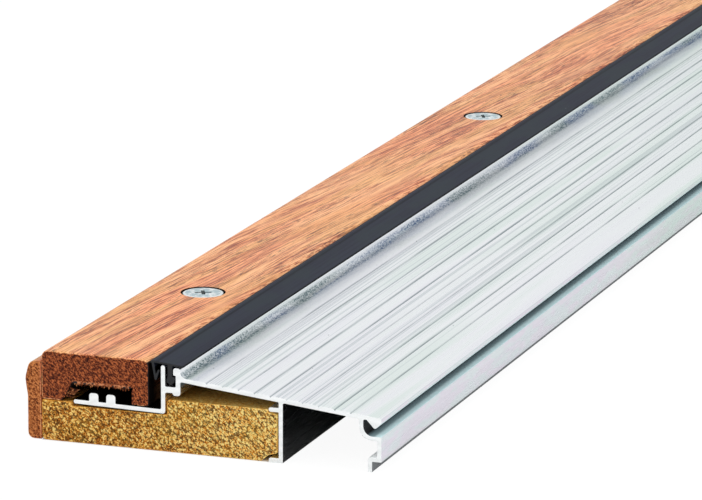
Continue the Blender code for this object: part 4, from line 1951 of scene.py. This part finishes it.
@dataclass
class NosingBrad(Fastener):
    """One brad through the nosing, with a barrel head and grip rings.

    Attributes:
        wire: The wire's radius.
        head: The head's radius.
        head_thick: How thick the head is.
        point: How long the point is.
        grip_rings: How many rings the gripping dies left behind the head.
        grip_pitch: Their pitch.
        grip_depth: Their depth.
    """

    name: str = "brad"
    node: str = "nosing_brad"
    wire: float = 0.8
    head: float = 1.1
    head_thick: float = 0.8
    point: float = 1.8
    grip_rings: int = 7
    grip_pitch: float = 0.7
    grip_depth: float = 0.08

    def shape(self, shell: Shell, low: Vector, high: Vector) -> None:
        """Turn the point, the ringed wire and the head, along +Y."""
        top, neck = high.y, high.y - self.head_thick
        profile = [(0, low.y), (self.wire, low.y + self.point)]
        for k in range(self.grip_rings, 0, -1):
            at = neck - 1.0 - k * self.grip_pitch
            profile += [(self.wire, at), (self.wire - self.grip_depth, at + self.grip_pitch / 2)]
        profile += [(self.wire, neck), (self.head, neck + 0.35), (self.head, top - 0.15)]
        profile += [(self.head - 0.15, top), (self.head * 0.45, top - 0.05), (0, top - 0.12)]
        turned(shell, profile, 24, roomward(Vector()))

    def origin(self, middle: Vector) -> Vector:
        """Give the place of its lying axis from its node's middle."""
        return Vector((middle.x * MM, 0, middle.z * MM))


# ---------------------------------------------------------------- studio


@dataclass(frozen=True)
class Camera:
    """The camera: where it stands in metres, where it looks in degrees, and its lens."""

    place: tuple[float, float, float] = (-2.1891, -0.6768, 0.5284)
    heading: float = 19.624
    dip: float = 13.588
    roll: float = 0.115
    lens: float = 264.5

    def build(self) -> None:
        """Make the camera and look through it."""
        data = bpy.data.cameras.new("camera")
        data.lens = self.lens
        data.sensor_width = 36
        data.clip_end = 50
        made = bpy.data.objects.new("camera", data)
        aim = Matrix.Rotation(math.radians(self.heading - 90), 4, "Z")
        aim = aim @ Matrix.Rotation(math.radians(90 - self.dip), 4, "X")
        aim = aim @ Matrix.Rotation(math.radians(self.roll), 4, "Z")
        made.matrix_world = Matrix.Translation(self.place) @ aim
        bpy.context.scene.collection.objects.link(made)
        bpy.context.scene.camera = made


@dataclass(frozen=True)
class Lamp:
    """A soft square lamp, aimed at a place."""

    name: str
    place: tuple[float, float, float]
    target: tuple[float, float, float]
    size: float
    power: float

    def build(self) -> None:
        """Hang the lamp."""
        data = bpy.data.lights.new(self.name, "AREA")
        data.size = self.size
        data.energy = self.power
        made = bpy.data.objects.new(self.name, data)
        aim = (Vector(self.target) - Vector(self.place)).to_track_quat("-Z", "Y")
        made.matrix_world = Matrix.Translation(self.place) @ aim.to_matrix().to_4x4()
        bpy.context.scene.collection.objects.link(made)


@dataclass(frozen=True)
class Studio:
    """A white room: an even sky, a pale floor and two soft lamps.

    Attributes:
        sky: The sky's colour.
        sky_strength: How bright it is.
        floor_half: Half the floor's width, in metres.
        floor_white: The floor's colour where it takes the light.
        floor_glow: How much of what is seen of the floor is its even glow.
        glow_strength: How bright that glow is.
        key: The lamp on the weather side.
        fill: The lamp beyond the near end.
    """

    sky: Colour = (0.96, 0.98, 1.0)
    sky_strength: float = 0.87
    floor_half: float = 8.0
    floor_white: Colour = (0.9, 0.9, 0.9)
    floor_glow: float = 0.9
    glow_strength: float = 1.04
    key: Lamp = Lamp("key_lamp", (-0.6, -1.5, 1.5), (-0.2, 0.0, 0.0), 1.0, 11.0)
    fill: Lamp = Lamp("fill_lamp", (-1.6, 0.4, 1.3), (-0.3, 0.0, 0.0), 1.2, 5.0)

    def build(self) -> None:
        """Light the room and lay its floor."""
        bpy.context.scene.view_settings.view_transform = "Standard"
        world = bpy.data.worlds.new("sky")
        world.use_nodes = True
        background = world.node_tree.nodes["Background"]
        background.inputs["Color"].default_value = (*self.sky, 1.0)
        background.inputs["Strength"].default_value = self.sky_strength
        bpy.context.scene.world = world
        self.key.build()
        self.fill.build()
        self._floor()

    def _floor(self) -> None:
        """Lay a pale floor that shows soft contact shadows."""
        reach = self.floor_half / MM
        shell = Shell()
        signs = ((-1, -1), (1, -1), (1, 1), (-1, 1))
        shell.add([Vector((reach * x, reach * y, 0)) for x, y in signs], [(0, 1, 2, 3)], Face.SIDE)
        g = Graph("pale_floor")
        white = g.node("BsdfDiffuse", {}, {"Color": self.floor_white}).outputs[0]
        glow = g.node("Emission", {}, {"Color": (1.0, 1.0, 1.0), "Strength": self.glow_strength}).outputs[0]
        (low_x, low_y, _), (high_x, high_y, _) = extent("composite_substrate")
        beneath = g.x.band(low_x, high_x, 0.3) * g.y.band(low_y, high_y, 0.3)
        camera_ray = Value(g, g.node("LightPath").outputs["Is Camera Ray"])
        seen = camera_ray * self.floor_glow * (1.0 - beneath)
        mixed = g.node("MixShader", {}, {0: seen, 1: white, 2: glow}).outputs[0]
        g.node("OutputMaterial", {}, {"Surface": mixed})
        shell.placed("floor", [g.material])


def main() -> None:
    """Build the studio and every piece."""
    logging.basicConfig(level=logging.INFO, format="%(name)s %(message)s")
    Camera().build()
    Studio().build()
    for piece in (ExtrudedSill(), OakCap(), OakNosing(), CompositeBase(), SealStrip()):
        piece.build()
    zinc = Plated("zinc_plate").turned()
    steel = Plated("plain_steel", bright=linear(190, 192, 192), dull=linear(120, 124, 126)).turned()
    for number in range(1, len(centres("adjusting_screw")) + 1):
        AdjustingScrew(number, zinc).build()
        ScrewRetainer(number, steel).build()
    for kind in (FlangeScrew, NosingBrad):
        for number in range(1, len(centres(kind.node)) + 1):
            kind(number, steel).build()


if __name__ == "__main__":
    main()
